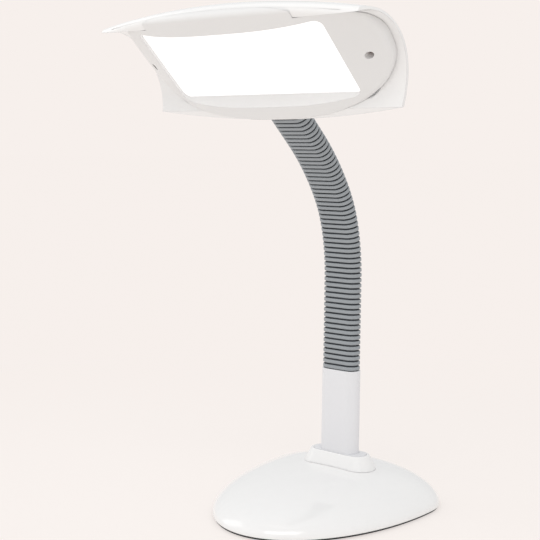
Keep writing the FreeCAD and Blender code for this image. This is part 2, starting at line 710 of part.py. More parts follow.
def hood_outline(inset):
    """The hood seen from the front: bowed sides that are widest at the middle."""
    reach = HOOD_OUTLINE_REACH
    middle = HOOD_HALF_WIDTH - inset
    top = HOOD_TOP_HALF_WIDTH - inset
    bottom = HOOD_BOTTOM_HALF_WIDTH - inset
    right = Part.Arc(V(bottom, 0, -reach), V(middle, 0, 0), V(top, 0, reach)).toShape()
    left = Part.Arc(V(-top, 0, reach), V(-middle, 0, 0), V(-bottom, 0, -reach)).toShape()
    over = Part.makePolygon([V(top, 0, reach), V(-top, 0, reach)])
    under = Part.makePolygon([V(-bottom, 0, -reach), V(bottom, 0, -reach)])
    face = Part.Face(Part.Wire([right] + over.Edges + [left] + under.Edges))
    face.translate(V(0, -BIG / 2, 0))
    return face.extrude(V(0, BIG, 0))


def behind(plane_y):
    return box(V(-BIG, plane_y, -BIG), V(BIG, BIG, BIG))


def rounded_outline(half_width, half_height, centre_z, power):
    """A closed superellipse in the XZ plane."""
    steps = 32
    points = []
    for i in range(steps):
        angle = 2 * math.pi * i / steps
        c, s = math.cos(angle), math.sin(angle)
        x = math.copysign(half_width * abs(c) ** (2 / power), c)
        z = math.copysign(half_height * abs(s) ** (2 / power), s)
        points.append(V(x, 0, centre_z + z))
    curve = Part.BSplineCurve()
    curve.interpolate(points, PeriodicFlag=True)
    return Part.Face(Part.Wire([curve.toShape()]))


def outline_prism(half_width, half_height, centre_z):
    face = rounded_outline(half_width, half_height, centre_z, PANEL_POWER)
    face.translate(V(0, -BIG / 2, 0))
    return face.extrude(V(0, BIG, 0))


LIP_TOP_REACH = math.sqrt(COVE_RADIUS ** 2 - (AXIS_AHEAD + LIP_BEHIND_FACE) ** 2)
OPENING_HALF_HEIGHT = LIP_TOP_REACH - OPENING_SEAT
TUBE_BACK = TUBE_BEHIND_FACE + TUBE_RADIUS + REFLECTOR_GAP
REFLECTOR_BACK = TUBE_BACK + REFLECTOR_SHEET
REFLECTOR_SCREWS = [(-60.0, -15.5), (60.0, -15.5), (-60.0, 15.5), (60.0, 15.5)]
HOLDER_LOW_X = CAP_NEAR_X + CAP_LENGTH + SLIP_FIT
HOLDER_BACK = TUBE_BEHIND_FACE + HOLDER_DEPTH / 2 + 1.5
HOLDER_SCREW_X = HOLDER_LOW_X + HOLDER_LENGTH - 2 * SCREW_HEAD_RADIUS
HOLDER_SCREW_Z = HOLDER_HALF_HEIGHT - SCREW_HEAD_RADIUS - 1.0
PAD_HALF_WIDTH = 32.0
PAD_HALF_DEPTH = 13.0
PAD_TOP_Z = -53.0
PAD_HOLE_RISE = 3.0
BRACKET_THICKNESS = 3.0
BRACKET_FRONT = FACE_AHEAD_OF_NECK - 6.6
BRACKET_BACK = FACE_AHEAD_OF_NECK + 2.4
BRACKET_SCREW_X = 25.0
BRACKET_SCREW_Y = (BRACKET_FRONT + BRACKET_BACK) / 2
STUB_REACH = WEB_SETBACK - SLIP_FIT
SWITCH_FLANGE_X = SWITCH_HALF_LENGTH + SWITCH_RIM
SWITCH_FLANGE_Z = SWITCH_HALF_HEIGHT + SWITCH_RIM


def boss(x, z, top_behind, hole_depth):
    """A screw post on the hood's back wall; its top is top_behind the face plane."""
    post = cylinder(BOSS_RADIUS, V(x, top_behind, z), V(0, 1, 0), BIG)
    hole = cylinder(SCREW_RADIUS + RUNNING_FIT, V(x, top_behind, z), V(0, 1, 0), hole_depth)
    return post.common(hood_barrel(HOOD_WALL / 2)), hole


def make_head_hood():
    outer = hood_barrel(0).common(hood_outline(0)).common(behind(LIP_BEHIND_FACE))
    for radius, side in ((NOSE_ROUND, 1), (CHIN_ROUND, -1)):
        flat = [edge for edge in outer.Edges if edge.BoundBox.YMax < LIP_BEHIND_FACE + SEAT_GAP]
        long_edges = [edge for edge in flat if side * edge.CenterOfMass.z > HOOD_OUTLINE_REACH / 2]
        outer = outer.makeFillet(radius, long_edges)
    outer = outer.cut(cove(COVE_RADIUS))
    inner = hood_barrel(HOOD_WALL).common(hood_outline(HOOD_WALL)).common(behind(LIP_BEHIND_FACE + HOOD_WALL))
    low_z, high_z = AXIS_Z - OPENING_HALF_HEIGHT, AXIS_Z + OPENING_HALF_HEIGHT
    opening = Part.Face(rounded_rectangle(OPENING_HALF_WIDTH, low_z, high_z, OPENING_CORNER, 0))
    opening = opening.extrude(V(0, BIG, 0))
    hollow = inner.cut(cove(COVE_RADIUS + HOOD_WALL))
    middle = hood_barrel(HOOD_WALL).common(hood_outline(HOOD_WALL)).common(opening)
    body = outer.cut(hollow).cut(middle)
    posts, holes = [], []
    for x, z in REFLECTOR_SCREWS:
        post, hole = boss(x, z, REFLECTOR_BACK, REFLECTOR_BITE)
        posts.append(post)
        holes.append(hole)
    for side in (-1, 1):
        post, hole = boss(HOLDER_SCREW_X, side * HOLDER_SCREW_Z, HOLDER_BACK, HOLDER_BITE)
        posts.append(post)
        holes.append(hole)
    for side in (-1, 1):
        post, hole = boss(side * PANEL_SCREW_X, PANEL_SCREW_Z, PANEL_BOSS_TOP, PANEL_BITE)
        posts.append(post)
        holes.append(hole)
    pad = box(V(-PAD_HALF_WIDTH, 0, -BIG), V(PAD_HALF_WIDTH, 2 * PAD_HALF_DEPTH, PAD_TOP_Z))
    pad.translate(V(0, FACE_AHEAD_OF_NECK - PAD_HALF_DEPTH, 0))
    posts.append(pad.common(hood_barrel(HOOD_WALL / 2)).cut(cove(COVE_RADIUS - 1)))
    half_x = SWITCH_FLANGE_X + HOOD_WALL
    half_z = SWITCH_FLANGE_Z + HOOD_WALL
    low = V(SWITCH_X - half_x, SWITCH_FACE_BEHIND - HOOD_WALL, -half_z)
    switch_pad = box(low, V(SWITCH_X + half_x, BIG, half_z))
    posts.append(switch_pad.common(hood_barrel(HOOD_WALL / 2)))
    body = fuse([body] + posts)
    tools = list(holes)
    stub = stadium(STUB_HALF_WIDTH + SLIP_FIT, STUB_HALF_DEPTH + SLIP_FIT, -BIG, BIG / 8)
    stub = stub.common(box(V(-BIG, -BIG, -BIG), V(BIG, BIG, PAD_TOP_Z + PAD_HOLE_RISE)))
    stub.translate(V(0, FACE_AHEAD_OF_NECK, 0))
    tools.append(stub)
    for side in (-1, 1):
        start = V(side * BRACKET_SCREW_X, BRACKET_SCREW_Y, PAD_TOP_Z)
        tools.append(cylinder(SCREW_RADIUS + RUNNING_FIT, start, V(0, 0, -1), BRACKET_BITE + SLIP_FIT))
    flange_low = V(SWITCH_X - SWITCH_FLANGE_X - SLIP_FIT, SWITCH_FACE_BEHIND, -SWITCH_FLANGE_Z - SLIP_FIT)
    flange_high = V(SWITCH_X + SWITCH_FLANGE_X + SLIP_FIT, BIG, SWITCH_FLANGE_Z + SLIP_FIT)
    tools.append(box(flange_low, flange_high))
    well_x = SWITCH_HALF_LENGTH + SLIP_FIT
    well_z = SWITCH_HALF_HEIGHT + SLIP_FIT
    tools.append(box(V(SWITCH_X - well_x, 0, -well_z), V(SWITCH_X + well_x, BIG, well_z)))
    return cut(body, tools)


REFLECTOR_BITE = 5.0
HOLDER_BITE = 5.0
PANEL_BITE = 6.0
BRACKET_BITE = 5.0
PANEL_BOSS_TOP = 22.0
STUB_HALF_WIDTH = BORE_HALF_WIDTH - SLIP_FIT
STUB_HALF_DEPTH = BORE_HALF_DEPTH - SLIP_FIT
STUB_WALL = 1.5


def panel_front(x):
    """How far the panel's front stands ahead of the face plane."""
    return PANEL_PROUD - PANEL_END_DROP * abs(x / PANEL_HALF_WIDTH) ** PANEL_DROP_POWER


def under_panel(inset):
    """Everything behind the panel's bowed front surface, drawn back by inset."""
    steps = 12
    reach = PANEL_HALF_WIDTH + 4.0
    points = []
    for i in range(-steps, steps + 1):
        x = reach * i / steps
        points.append(V(x, inset - panel_front(x), 0))
    bow = Part.BSplineCurve()
    bow.interpolate(points)
    back = Part.makePolygon([points[-1], V(reach, BIG, 0), V(-reach, BIG, 0), points[0]])
    face = Part.Face(Part.Wire([bow.toShape()] + back.Edges))
    face.translate(V(0, 0, -BIG / 2))
    return face.extrude(V(0, 0, BIG))


def rounded_rectangle(half_width, low_z, high_z, radius, y):
    """A rounded rectangle wire in the plane at y."""
    x, r = half_width, radius
    bend = r * (1 - math.sqrt(0.5))
    corners = []
    for sx, z, sz in ((1, low_z, 1), (1, high_z, -1), (-1, high_z, -1), (-1, low_z, 1)):
        corners.append((V(sx * (x - r), y, z), V(sx * (x - bend), y, z + sz * bend), V(sx * x, y, z + sz * r)))
    edges = []
    order = [(0, 1, 2), (2, 1, 0), (0, 1, 2), (2, 1, 0)]
    path = [[corners[i][k] for k in order[i]] for i in range(4)]
    for i in range(4):
        start, middle, finish = path[i]
        edges.append(Part.Arc(start, middle, finish).toShape())
        edges.append(Part.LineSegment(finish, path[(i + 1) % 4][0]).toShape())
    return Part.Wire(edges)


def window_funnel(grow, front_extra):
    """The slanted well from the panel's front to the diffuser."""
    run = WINDOW_DEPTH + PANEL_PROUD
    y_front = -PANEL_PROUD - front_extra
    flare = front_extra / run
    half_width = WINDOW_FRONT_HALF_WIDTH + grow
    half_width += (WINDOW_FRONT_HALF_WIDTH - WINDOW_HALF_WIDTH) * flare
    low = WINDOW_FRONT_BOTTOM - grow + (WINDOW_FRONT_BOTTOM + WINDOW_HALF_HEIGHT) * flare
    high = WINDOW_FRONT_TOP + grow + (WINDOW_FRONT_TOP - WINDOW_HALF_HEIGHT) * flare
    front = rounded_rectangle(half_width, low, high, WINDOW_CORNER + grow, y_front)
    half_width = WINDOW_HALF_WIDTH + grow
    half_height = WINDOW_HALF_HEIGHT + grow
    rear = rounded_rectangle(half_width, -half_height, half_height, WINDOW_CORNER + grow, WINDOW_DEPTH)
    return Part.makeLoft([front, rear], True, True)


def panel_body(inset):
    prism = outline_prism(PANEL_HALF_WIDTH - inset, PANEL_HALF_HEIGHT - inset, PANEL_CENTRE_Z)
    return prism.common(under_panel(inset))


def make_front_panel():
    window = window_funnel(0, 20.0)
    body = panel_body(0)
    ahead = [edge for edge in body.Edges if edge.BoundBox.YMax < BIG / 4]
    front_edges = [edge for edge in ahead if edge.Length > PANEL_HALF_WIDTH]
    body = body.makeFillet(PANEL_EDGE_ROUND, front_edges)
    hood_room = behind(LIP_BEHIND_FACE - PANEL_CLEARANCE).cut(cove(COVE_RADIUS - PANEL_CLEARANCE))
    body = body.cut(window).cut(panel_body(PANEL_WALL)).cut(hood_room)
    for low_x, high_x in ((LAP_HALF_WIDTH, BIG), (-BIG, -LAP_HALF_WIDTH)):
        past_lap = box(V(low_x, -BIG, -BIG), V(high_x, BIG, BIG))
        body = body.cut(past_lap.cut(cove(COVE_RADIUS - PANEL_CLEARANCE)))
    solids = [window_funnel(WINDOW_FRAME, 0).cut(window).common(under_panel(PANEL_WALL / 2))]
    for side in (-1, 1):
        front = V(side * PANEL_SCREW_X, -BIG / 2, PANEL_SCREW_Z)
        top = V(side * PANEL_SCREW_X, PANEL_BOSS_TOP, PANEL_SCREW_Z)
        post = cylinder(PANEL_POST_RADIUS, front, V(0, 1, 0), BIG / 2 + PANEL_BOSS_TOP)
        hole = cylinder(SCREW_RADIUS + SLIP_FIT, top, V(0, -1, 0), BIG)
        well = cylinder(RECESS_SCREW_RADIUS, top - V(0, PANEL_POST_FLOOR, 0), V(0, -1, 0), BIG)
        solids.append(post.common(under_panel(PANEL_WALL / 2)).cut(hole).cut(well))
        body = body.cut(well)
    for solid in solids:
        body = body.fuse(solid)
    return body.removeSplitter()


PANEL_POST_RADIUS = RECESS_SCREW_RADIUS + 1.6
PANEL_POST_FLOOR = 2.0


def make_panel_screws():
    screws = []
    for side in (-1, 1):
        seat = V(side * PANEL_SCREW_X, PANEL_BOSS_TOP - PANEL_POST_FLOOR, PANEL_SCREW_Z)
        screws.append(screw(seat, V(0, 1, 0), PANEL_POST_FLOOR + PANEL_BITE - SLIP_FIT))
    return Part.makeCompound(screws)


def make_diffuser():
    half_width = WINDOW_HALF_WIDTH + DIFFUSER_END_MARGIN
    half_height = WINDOW_HALF_HEIGHT + DIFFUSER_EDGE_MARGIN
    wire = rounded_rectangle(half_width, -half_height, half_height, WINDOW_CORNER, WINDOW_DEPTH)
    return Part.Face(wire).extrude(V(0, DIFFUSER_THICKNESS, 0))


def make_lamp_tubes():
    """Four parallel glass tubes, joined in pairs at the far end."""
    pairs = []
    middle = (TUBE_INNER_Z + TUBE_OUTER_Z) / 2
    bend = (TUBE_OUTER_Z - TUBE_INNER_Z) / 2
    start_x = TUBE_FAR_X + TUBE_RADIUS + bend
    for side in (-1, 1):
        legs = []
        for z in (TUBE_INNER_Z, TUBE_OUTER_Z):
            start = V(start_x, TUBE_BEHIND_FACE, side * z)
            legs.append(cylinder(TUBE_RADIUS, start, V(1, 0, 0), CAP_NEAR_X - start_x))
        ring = Part.makeTorus(bend, TUBE_RADIUS, V(start_x, TUBE_BEHIND_FACE, side * middle), V(0, 1, 0))
        legs.append(ring.common(box(V(-BIG, -BIG, -BIG), V(start_x, BIG, BIG))))
        pairs.append(fuse(legs))
    return Part.makeCompound(pairs)


def make_lamp_cap():
    half_z = TUBE_OUTER_Z + TUBE_RADIUS + CAP_MARGIN
    half_y = TUBE_RADIUS
    low = V(CAP_NEAR_X, TUBE_BEHIND_FACE - half_y, -half_z)
    body = box(low, V(CAP_NEAR_X + CAP_LENGTH, TUBE_BEHIND_FACE + half_y, half_z))
    long_edges = [edge for edge in body.Edges if edge.BoundBox.XLength > CAP_LENGTH / 2]
    return body.makeFillet(3.0, long_edges)


LAMP_PIN_Z = (-12.0, -4.0, 4.0, 12.0)


def make_lamp_pins():
    pins = []
    for z in LAMP_PIN_Z:
        start = V(CAP_NEAR_X + CAP_LENGTH, TUBE_BEHIND_FACE, z)
        pins.append(cylinder(PIN_RADIUS, start, V(1, 0, 0), PIN_LENGTH))
    return Part.makeCompound(pins)


def make_lamp_holder():
    low = V(HOLDER_LOW_X, HOLDER_BACK - HOLDER_DEPTH, -HOLDER_HALF_HEIGHT)
    body = box(low, V(HOLDER_LOW_X + HOLDER_LENGTH, HOLDER_BACK, HOLDER_HALF_HEIGHT))
    tools = []
    for z in LAMP_PIN_Z:
        start = V(HOLDER_LOW_X, TUBE_BEHIND_FACE, z)
        tools.append(cylinder(PIN_RADIUS + RUNNING_FIT, start, V(1, 0, 0), PIN_LENGTH))
    for side in (-1, 1):
        top = V(HOLDER_SCREW_X, 0, side * HOLDER_SCREW_Z)
        tools.append(cylinder(SCREW_RADIUS + SLIP_FIT, top, V(0, 1, 0), BIG))
        deep = V(HOLDER_SCREW_X, HOLDER_SEAT, side * HOLDER_SCREW_Z)
        tools.append(cylinder(SCREW_HEAD_RADIUS + SLIP_FIT, deep, V(0, -1, 0), BIG))
    return cut(body, tools)


HOLDER_SEAT = HOLDER_BACK - 3.0


def make_holder_screws():
    screws = []
    for side in (-1, 1):
        seat = V(HOLDER_SCREW_X, HOLDER_SEAT, side * HOLDER_SCREW_Z)
        screws.append(screw(seat, V(0, 1, 0), HOLDER_BACK - HOLDER_SEAT + HOLDER_BITE - SLIP_FIT))
    return Part.makeCompound(screws)


REFLECTOR_LIP_Z = 43.0
REFLECTOR_KNEE = (22.2, 36.4)
REFLECTOR_FLOOR_Z = 25.0
REFLECTOR_FRONT = WINDOW_DEPTH + DIFFUSER_THICKNESS + 0.2


def make_reflector():
    """A bent sheet trough behind the tubes, open towards the diffuser."""
    knee_y, knee_z = REFLECTOR_KNEE
    half = [(REFLECTOR_FRONT, REFLECTOR_LIP_Z), (knee_y, knee_z), (TUBE_BACK, REFLECTOR_FLOOR_Z)]
    inner = half + [(y, -z) for y, z in reversed(half)]
    sheet = REFLECTOR_SHEET
    outer_half = [(REFLECTOR_FRONT, REFLECTOR_LIP_Z + sheet), (knee_y + sheet, knee_z + sheet / 2)]
    outer_half.append((TUBE_BACK + sheet, REFLECTOR_FLOOR_Z + sheet / 2))
    outer = outer_half + [(y, -z) for y, z in reversed(outer_half)]
    ring = inner + list(reversed(outer))
    x = -REFLECTOR_HALF_LENGTH
    points = [V(x, y, z) for y, z in ring]
    trough = Part.Face(Part.makePolygon(points + [points[0]])).extrude(V(2 * REFLECTOR_HALF_LENGTH, 0, 0))
    holes = []
    for x, z in REFLECTOR_SCREWS:
        holes.append(cylinder(SCREW_RADIUS + SLIP_FIT, V(x, 0, z), V(0, 1, 0), BIG))
    return cut(trough, holes)


def make_reflector_screws():
    """Short flat-head screws between the tubes."""
    screws = []
    for x, z in REFLECTOR_SCREWS:
        seat = V(x, TUBE_BACK, z)
        head = Part.makeCylinder(REFLECTOR_HEAD_RADIUS, REFLECTOR_GAP - 0.1, seat, V(0, -1, 0))
        shank = cylinder(SCREW_RADIUS, seat, V(0, 1, 0), REFLECTOR_SHEET + REFLECTOR_BITE - SLIP_FIT)
        screws.append(head.fuse(shank).removeSplitter())
    return Part.makeCompound(screws)


REFLECTOR_HEAD_RADIUS = 2.6


def make_head_bracket():
    """The plate inside the hood and the hollow stub that goes down into the neck."""
    low = V(-PAD_HALF_WIDTH + 1, BRACKET_FRONT, PAD_TOP_Z)
    high = V(PAD_HALF_WIDTH - 1, BRACKET_BACK, PAD_TOP_Z + BRACKET_THICKNESS)
    plate = box(low, high)
    bottom = -FACE_ABOVE_LAST_RIB - STUB_REACH
    stub = stadium(STUB_HALF_WIDTH, STUB_HALF_DEPTH, bottom, PAD_TOP_Z + BRACKET_THICKNESS)
    bore = stadium(STUB_HALF_WIDTH - STUB_WALL, STUB_HALF_DEPTH - STUB_WALL, bottom, BIG)
    for part in (stub, bore):
        part.translate(V(0, FACE_AHEAD_OF_NECK, 0))
    body = plate.fuse(stub).removeSplitter()
    tools = [bore]
    for side in (-1, 1):
        start = V(side * BRACKET_SCREW_X, BRACKET_SCREW_Y, PAD_TOP_Z)
        tools.append(cylinder(SCREW_RADIUS + SLIP_FIT, start, V(0, 0, 1), BIG))
    return cut(body, tools)


def make_bracket_screws():
    screws = []
    for side in (-1, 1):
        seat = V(side * BRACKET_SCREW_X, BRACKET_SCREW_Y, PAD_TOP_Z + BRACKET_THICKNESS)
        screws.append(screw(seat, V(0, 0, -1), BRACKET_THICKNESS + BRACKET_BITE))
    return Part.makeCompound(screws)


FERRULE_MARGIN = 1.2


def make_neck_ferrule():
    """The moulded sleeve between the last rib and the underside of the hood."""
    half_width = RIB_WIDTH / 2 + FERRULE_MARGIN
    half_depth = RIB_DEPTH / 2 + FERRULE_MARGIN
    body = stadium(half_width, half_depth, -FACE_ABOVE_LAST_RIB, 0)
    rim = [edge for edge in body.Edges if edge.BoundBox.ZMax < -FACE_ABOVE_LAST_RIB + SEAT_GAP]
    body = body.makeFillet(FERRULE_MARGIN, rim)
    bore = stadium(STUB_HALF_WIDTH + SLIP_FIT, STUB_HALF_DEPTH + SLIP_FIT, -FACE_ABOVE_LAST_RIB, 0)
    body = body.cut(bore)
    body.translate(V(0, FACE_AHEAD_OF_NECK, 0))
    return body.cut(hood_barrel(-SEAT_GAP))


# Rocker switch
ROCKER_HALF_LENGTH = SWITCH_HALF_LENGTH - SWITCH_WALL - ROCKER_END_CLEARANCE
ROCKER_HALF_HEIGHT = SWITCH_HALF_HEIGHT - SWITCH_WALL - ROCKER_CLEARANCE
ROCKER_PIVOT_Y = SWITCH_FACE_BEHIND - 2.5
ROCKER_PROUD = 2.2


def make_switch_housing():
    back = SWITCH_FACE_BEHIND - SWITCH_DEPTH
    half_x, half_z = SWITCH_HALF_LENGTH, SWITCH_HALF_HEIGHT
    body = box(V(SWITCH_X - half_x, back, -half_z), V(SWITCH_X + half_x, SWITCH_FACE_BEHIND, half_z))
    low = V(SWITCH_X - SWITCH_FLANGE_X, SWITCH_FACE_BEHIND, -SWITCH_FLANGE_Z)
    flange = box(low, V(SWITCH_X + SWITCH_FLANGE_X, SWITCH_FACE_BEHIND + SWITCH_RIM, SWITCH_FLANGE_Z))
    rims = [edge for edge in flange.Edges if edge.BoundBox.YMin > SWITCH_FACE_BEHIND + SWITCH_RIM / 2]
    body = body.fuse(flange.makeFillet(SWITCH_RIM / 2, rims)).removeSplitter()
    half_x -= SWITCH_WALL
    half_z -= SWITCH_WALL
    well = box(V(SWITCH_X - half_x, back + SWITCH_WALL, -half_z), V(SWITCH_X + half_x, BIG, half_z))
    pin = V(SWITCH_X, ROCKER_PIVOT_Y, -SWITCH_HALF_HEIGHT + SWITCH_WALL / 4)
    reach = 2 * SWITCH_HALF_HEIGHT - SWITCH_WALL / 2
    bearing = cylinder(ROCKER_PIN_RADIUS + RUNNING_FIT, pin, V(0, 0, 1), reach)
    return cut(body, [well, bearing])


def make_switch_rocker():
    """A two-facet rocker, pressed at one end at rest."""
    x, half = SWITCH_X, ROCKER_HALF_LENGTH
    top = SWITCH_FACE_BEHIND + SWITCH_RIM + ROCKER_PROUD
    fall = half * math.tan(math.radians(ROCKER_TILT))
    under = ROCKER_PIVOT_Y - 3.0
    shoulder = half - 1.2
    corners = [(x - half, top), (x, top - fall), (x + half, top), (x + shoulder, under), (x - shoulder, under)]
    points = [V(px, py, -ROCKER_HALF_HEIGHT) for px, py in corners]
    body = Part.Face(Part.makePolygon(points + [points[0]])).extrude(V(0, 0, 2 * ROCKER_HALF_HEIGHT))
    pin_half = SWITCH_HALF_HEIGHT - SWITCH_WALL / 2
    pin = cylinder(ROCKER_PIN_RADIUS, V(x, ROCKER_PIVOT_Y, -pin_half), V(0, 0, 1), 2 * pin_half)
    body = body.fuse(pin).removeSplitter()
    body.rotate(V(x, ROCKER_PIVOT_Y, 0), V(0, 0, 1), ROCKER_TILT)
    return body


def main():
    os.makedirs("parts", exist_ok=True)
    save("base_cover", make_base_cover())
    save("base_plate", make_base_plate())
    save("base_weight", make_base_weight())
    save("rubber_feet", make_rubber_feet())
    save("base_screws", make_base_screws())
    save("cord_gland", make_cord_gland())
    save("gland_nut", make_gland_nut())
    save("ballast_board", make_ballast_board())
    save("board_standoffs", make_board_standoffs())
    save("board_screws", make_board_screws())
    save("ballast_choke", make_ballast_choke())
    save("ballast_capacitors", make_ballast_capacitors())
    save("board_connectors", make_board_connectors())
    save("collar", make_collar())
    save("stem_insert", make_stem_insert())
    save("stem", make_stem())
    save("stem_socket", make_stem_socket())
    save("socket_screws", make_socket_screws())
    save("neck_end_lower", make_neck_end_lower())
    for i in range(JOINTS):
        save("neck_pivot_%02d" % (i + 1), neck_pivot((i + 1) * LINK_LENGTH))
    for i in range(MOVING_LINKS):
        low = (i + 1) * LINK_LENGTH
        save("neck_link_%02d" % (i + 1), neck_section(low, low + LINK_LENGTH, True, True))
    save("neck_end_upper", make_neck_end_upper())
    head_parts = {
        "neck_ferrule": make_neck_ferrule,
        "head_bracket": make_head_bracket,
        "bracket_screws": make_bracket_screws,
        "head_hood": make_head_hood,
        "front_panel": make_front_panel,
        "panel_screws": make_panel_screws,
        "diffuser": make_diffuser,
        "reflector": make_reflector,
        "reflector_screws": make_reflector_screws,
        "lamp_tubes": make_lamp_tubes,
        "lamp_cap": make_lamp_cap,
        "lamp_pins": make_lamp_pins,
        "lamp_holder": make_lamp_holder,
        "holder_screws": make_holder_screws,
        "switch_housing": make_switch_housing,
        "switch_rocker": make_switch_rocker,
    }
    for name, maker in head_parts.items():
        save(name, head_place(maker()))


main()
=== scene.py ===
"""Light therapy lamp: the looks of each piece, and a small studio to see it in."""

import json
import math

import bpy
from bpy.props import FloatProperty, FloatVectorProperty, IntProperty
from mathutils import Matrix, Vector


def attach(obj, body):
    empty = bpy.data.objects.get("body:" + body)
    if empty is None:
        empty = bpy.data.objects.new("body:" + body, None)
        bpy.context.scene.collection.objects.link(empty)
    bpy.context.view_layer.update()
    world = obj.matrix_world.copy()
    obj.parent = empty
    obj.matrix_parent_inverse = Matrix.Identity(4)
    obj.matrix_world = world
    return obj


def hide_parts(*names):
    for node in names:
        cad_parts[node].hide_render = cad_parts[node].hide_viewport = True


bl_info = {
    "name": "Light Therapy Lamp",
    "version": (1, 0, 0),
    "blender": (4, 5, 0),
    "location": "View3D > Sidebar > Lamp",
    "description": "Dresses a desk light therapy lamp and lights it like a product photograph",
    "category": "Object",
}

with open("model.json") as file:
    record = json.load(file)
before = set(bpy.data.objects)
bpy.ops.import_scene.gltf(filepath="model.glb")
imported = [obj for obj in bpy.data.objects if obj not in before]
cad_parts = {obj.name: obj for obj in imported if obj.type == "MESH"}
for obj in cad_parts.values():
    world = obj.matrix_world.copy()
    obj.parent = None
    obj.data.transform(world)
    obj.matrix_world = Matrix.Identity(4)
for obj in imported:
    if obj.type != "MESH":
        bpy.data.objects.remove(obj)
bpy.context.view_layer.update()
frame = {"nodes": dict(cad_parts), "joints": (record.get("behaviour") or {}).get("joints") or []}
NODES = frame["nodes"]
JOINTS = {joint["name"]: joint for joint in frame["joints"]}

# Waviness of the mouldings: clouds over the whole piece, and a fine grain as relief
CLOUD_SCALE = 38.0
CLOUD_TINT = (0.55, 0.55, 0.56, 1)
CLOUD_SHEEN = 0.08
GRAIN_RELIEF = 0.00006

# Drawn lines on metal: stretched along the piece's width
LINE_STRETCH = (0.03, 1.0, 1.0)
LINE_TINT = (0.7, 0.7, 0.7, 1)
LINE_SHARE = 0.35
LINE_SHEEN = 0.12
LINE_RELIEF = 0.00004

# Tones that several pieces share
BLACK_PLASTIC = (0.02, 0.02, 0.022)
PLATED_STEEL = (0.62, 0.61, 0.6)
CAST_ALLOY = (0.6, 0.6, 0.61)

# The neck: hinges in each direction, ribs on its sleeves, and the last stretch against the others
HINGES = 12
SLEEVE_RIBS = 4
TOP_SLEEVE_RIBS = 7
LAST_STRETCH = 1.25

# Outline of a sleeve, as shares of the groove's depth
SHOULDER = 0.62
TAIL = 2.2
TONGUE = 2.6
THROAT = 0.8
LIP_OUTSIDE = 1.2
LIP_INSIDE = 1.62
END_FACE = 2.4
# Outline of a sleeve along the neck: shares of half a rib's pitch, and a length
THROAT_REACH = 1.3
TONGUE_REACH = 2.1
LIP_REACH = 0.0019
SHARPEST_SMOOTH_EDGE = math.radians(50)

# The studio
FLOOR_REACH = 30.0
FLOOR_TINT = (1.0, 0.96, 0.93, 1)
FLOOR_ROUGHNESS = 0.9
FIBRE_SCALE = 6.0
FIBRE_TONE = 0.995
SHADOW_CORE = 0.2
KEY_BOX = {"place": (0.5, -1.1, 1.5), "aim": (0, -0.05, 0.2), "width": 1.2, "height": 0.9}
SIDE_BOX = {"place": (-1.3, -0.5, 0.9), "aim": (0, 0, 0.25), "width": 0.7, "height": 1.1}
CAMERA_PLACE = (0.58306, -0.84757, 0.33902)
CAMERA_TURN, CAMERA_DIP, CAMERA_LEAN = 0.671, 0.113, 0.01
SENSOR_WIDTH = 36.0
CAMERA_REACH = 100.0


# Sizes and colours a user would change


def colour(name, description, default):
    look = {"subtype": "COLOR", "size": 3, "min": 0, "max": 1}
    return FloatVectorProperty(name=name, description=description, default=default, **look)


def length(name, description, default):
    look = {"unit": "LENGTH", "precision": 5, "min": 0}
    return FloatProperty(name=name, description=description, default=default, **look)


def factor(name, description, default):
    look = {"subtype": "FACTOR", "min": 0, "max": 1}
    return FloatProperty(name=name, description=description, default=default, **look)


def amount(name, description, default, **look):
    return FloatProperty(name=name, description=description, default=default, min=0, **look)


class LampFinishes(bpy.types.PropertyGroup):
    """Colours and gloss of the mouldings."""

    shell_colour: colour("Shell", "Glossy white of the foot, the collar and the hood", (0.89, 0.885, 0.88))
    shell_roughness: factor("Shell Roughness", "Roughness of the polished mouldings", 0.12)
    panel_colour: colour("Panel", "Satin white round the lit window", (0.80, 0.795, 0.79))
    panel_roughness: factor("Panel Roughness", "Roughness of the front panel", 0.34)
    stem_colour: colour("Stem", "Cool white of the stem", (0.78, 0.78, 0.80))
    stem_roughness: factor("Stem Roughness", "Roughness of the stem", 0.28)
    ripple: factor("Ripple", "Strength of the moulded skin's waviness", 0.12)


class LampNeck(bpy.types.PropertyGroup):
    """Sizes and colours of the ribbed neck, and the painted shade in its grooves."""

    rib_pitch: length("Rib Pitch", "Distance from one rib to the next", 0.005)
    rib_width: length("Rib Width", "Width of a rib across the lamp", 0.0394)
    rib_depth: length("Rib Depth", "Depth of a rib from front to back", 0.0184)
    rib_height: length("Rib Height", "Height of one rib along the neck", 0.0035)
    groove_depth: length("Groove Depth", "Depth of the grooves between ribs", 0.0016)
    edge_round: length("Edge Round", "Rounding of each rib's edges", 0.0008)
    arc_steps: IntProperty(name="Arc Steps", description="Facets in each rounded end", default=20, min=6)
    rib_colour: colour("Ribs", "Grey of the ribs", (0.33, 0.355, 0.375))
    # Painted shade: the grooves get a near-black colour in place of the shade that falls into them
    groove_shade_colour: colour("Grooves", "Darker grey in the grooves", (0.035, 0.04, 0.048))


class LampLight(bpy.types.PropertyGroup):
    """The lit window and the tubes behind it."""

    glow_colour: colour("Glow", "Colour of the lit window", (1.0, 1.0, 1.0))
    glow_strength: amount("Glow Strength", "Brightness of the lit window", 0.4)
    tube_strength: amount("Tube Strength", "Brightness of the tubes", 1.2)


class LampStage(bpy.types.PropertyGroup):
    """Backdrop, lights and camera."""

    backdrop: colour("Backdrop", "Colour of the floor and the background", (0.930, 0.871, 0.839))
    world_strength: amount("Fill", "Strength of the even fill light", 0.78)
    key_power: amount("Key", "Power of the big softbox", 8.0, unit="POWER")
    rim_power: amount("Side", "Power of the side softbox", 2.5, unit="POWER")
    shadow_share: factor("Shadow Share", "How much of the floor's look is its own shading", 0.3)
    shadow_reach: length("Shadow Reach", "Where the floor becomes plain backdrop", 0.75)
    focal_length: amount("Focal Length", "Camera lens in millimetres", 71.53)


# Shared effects

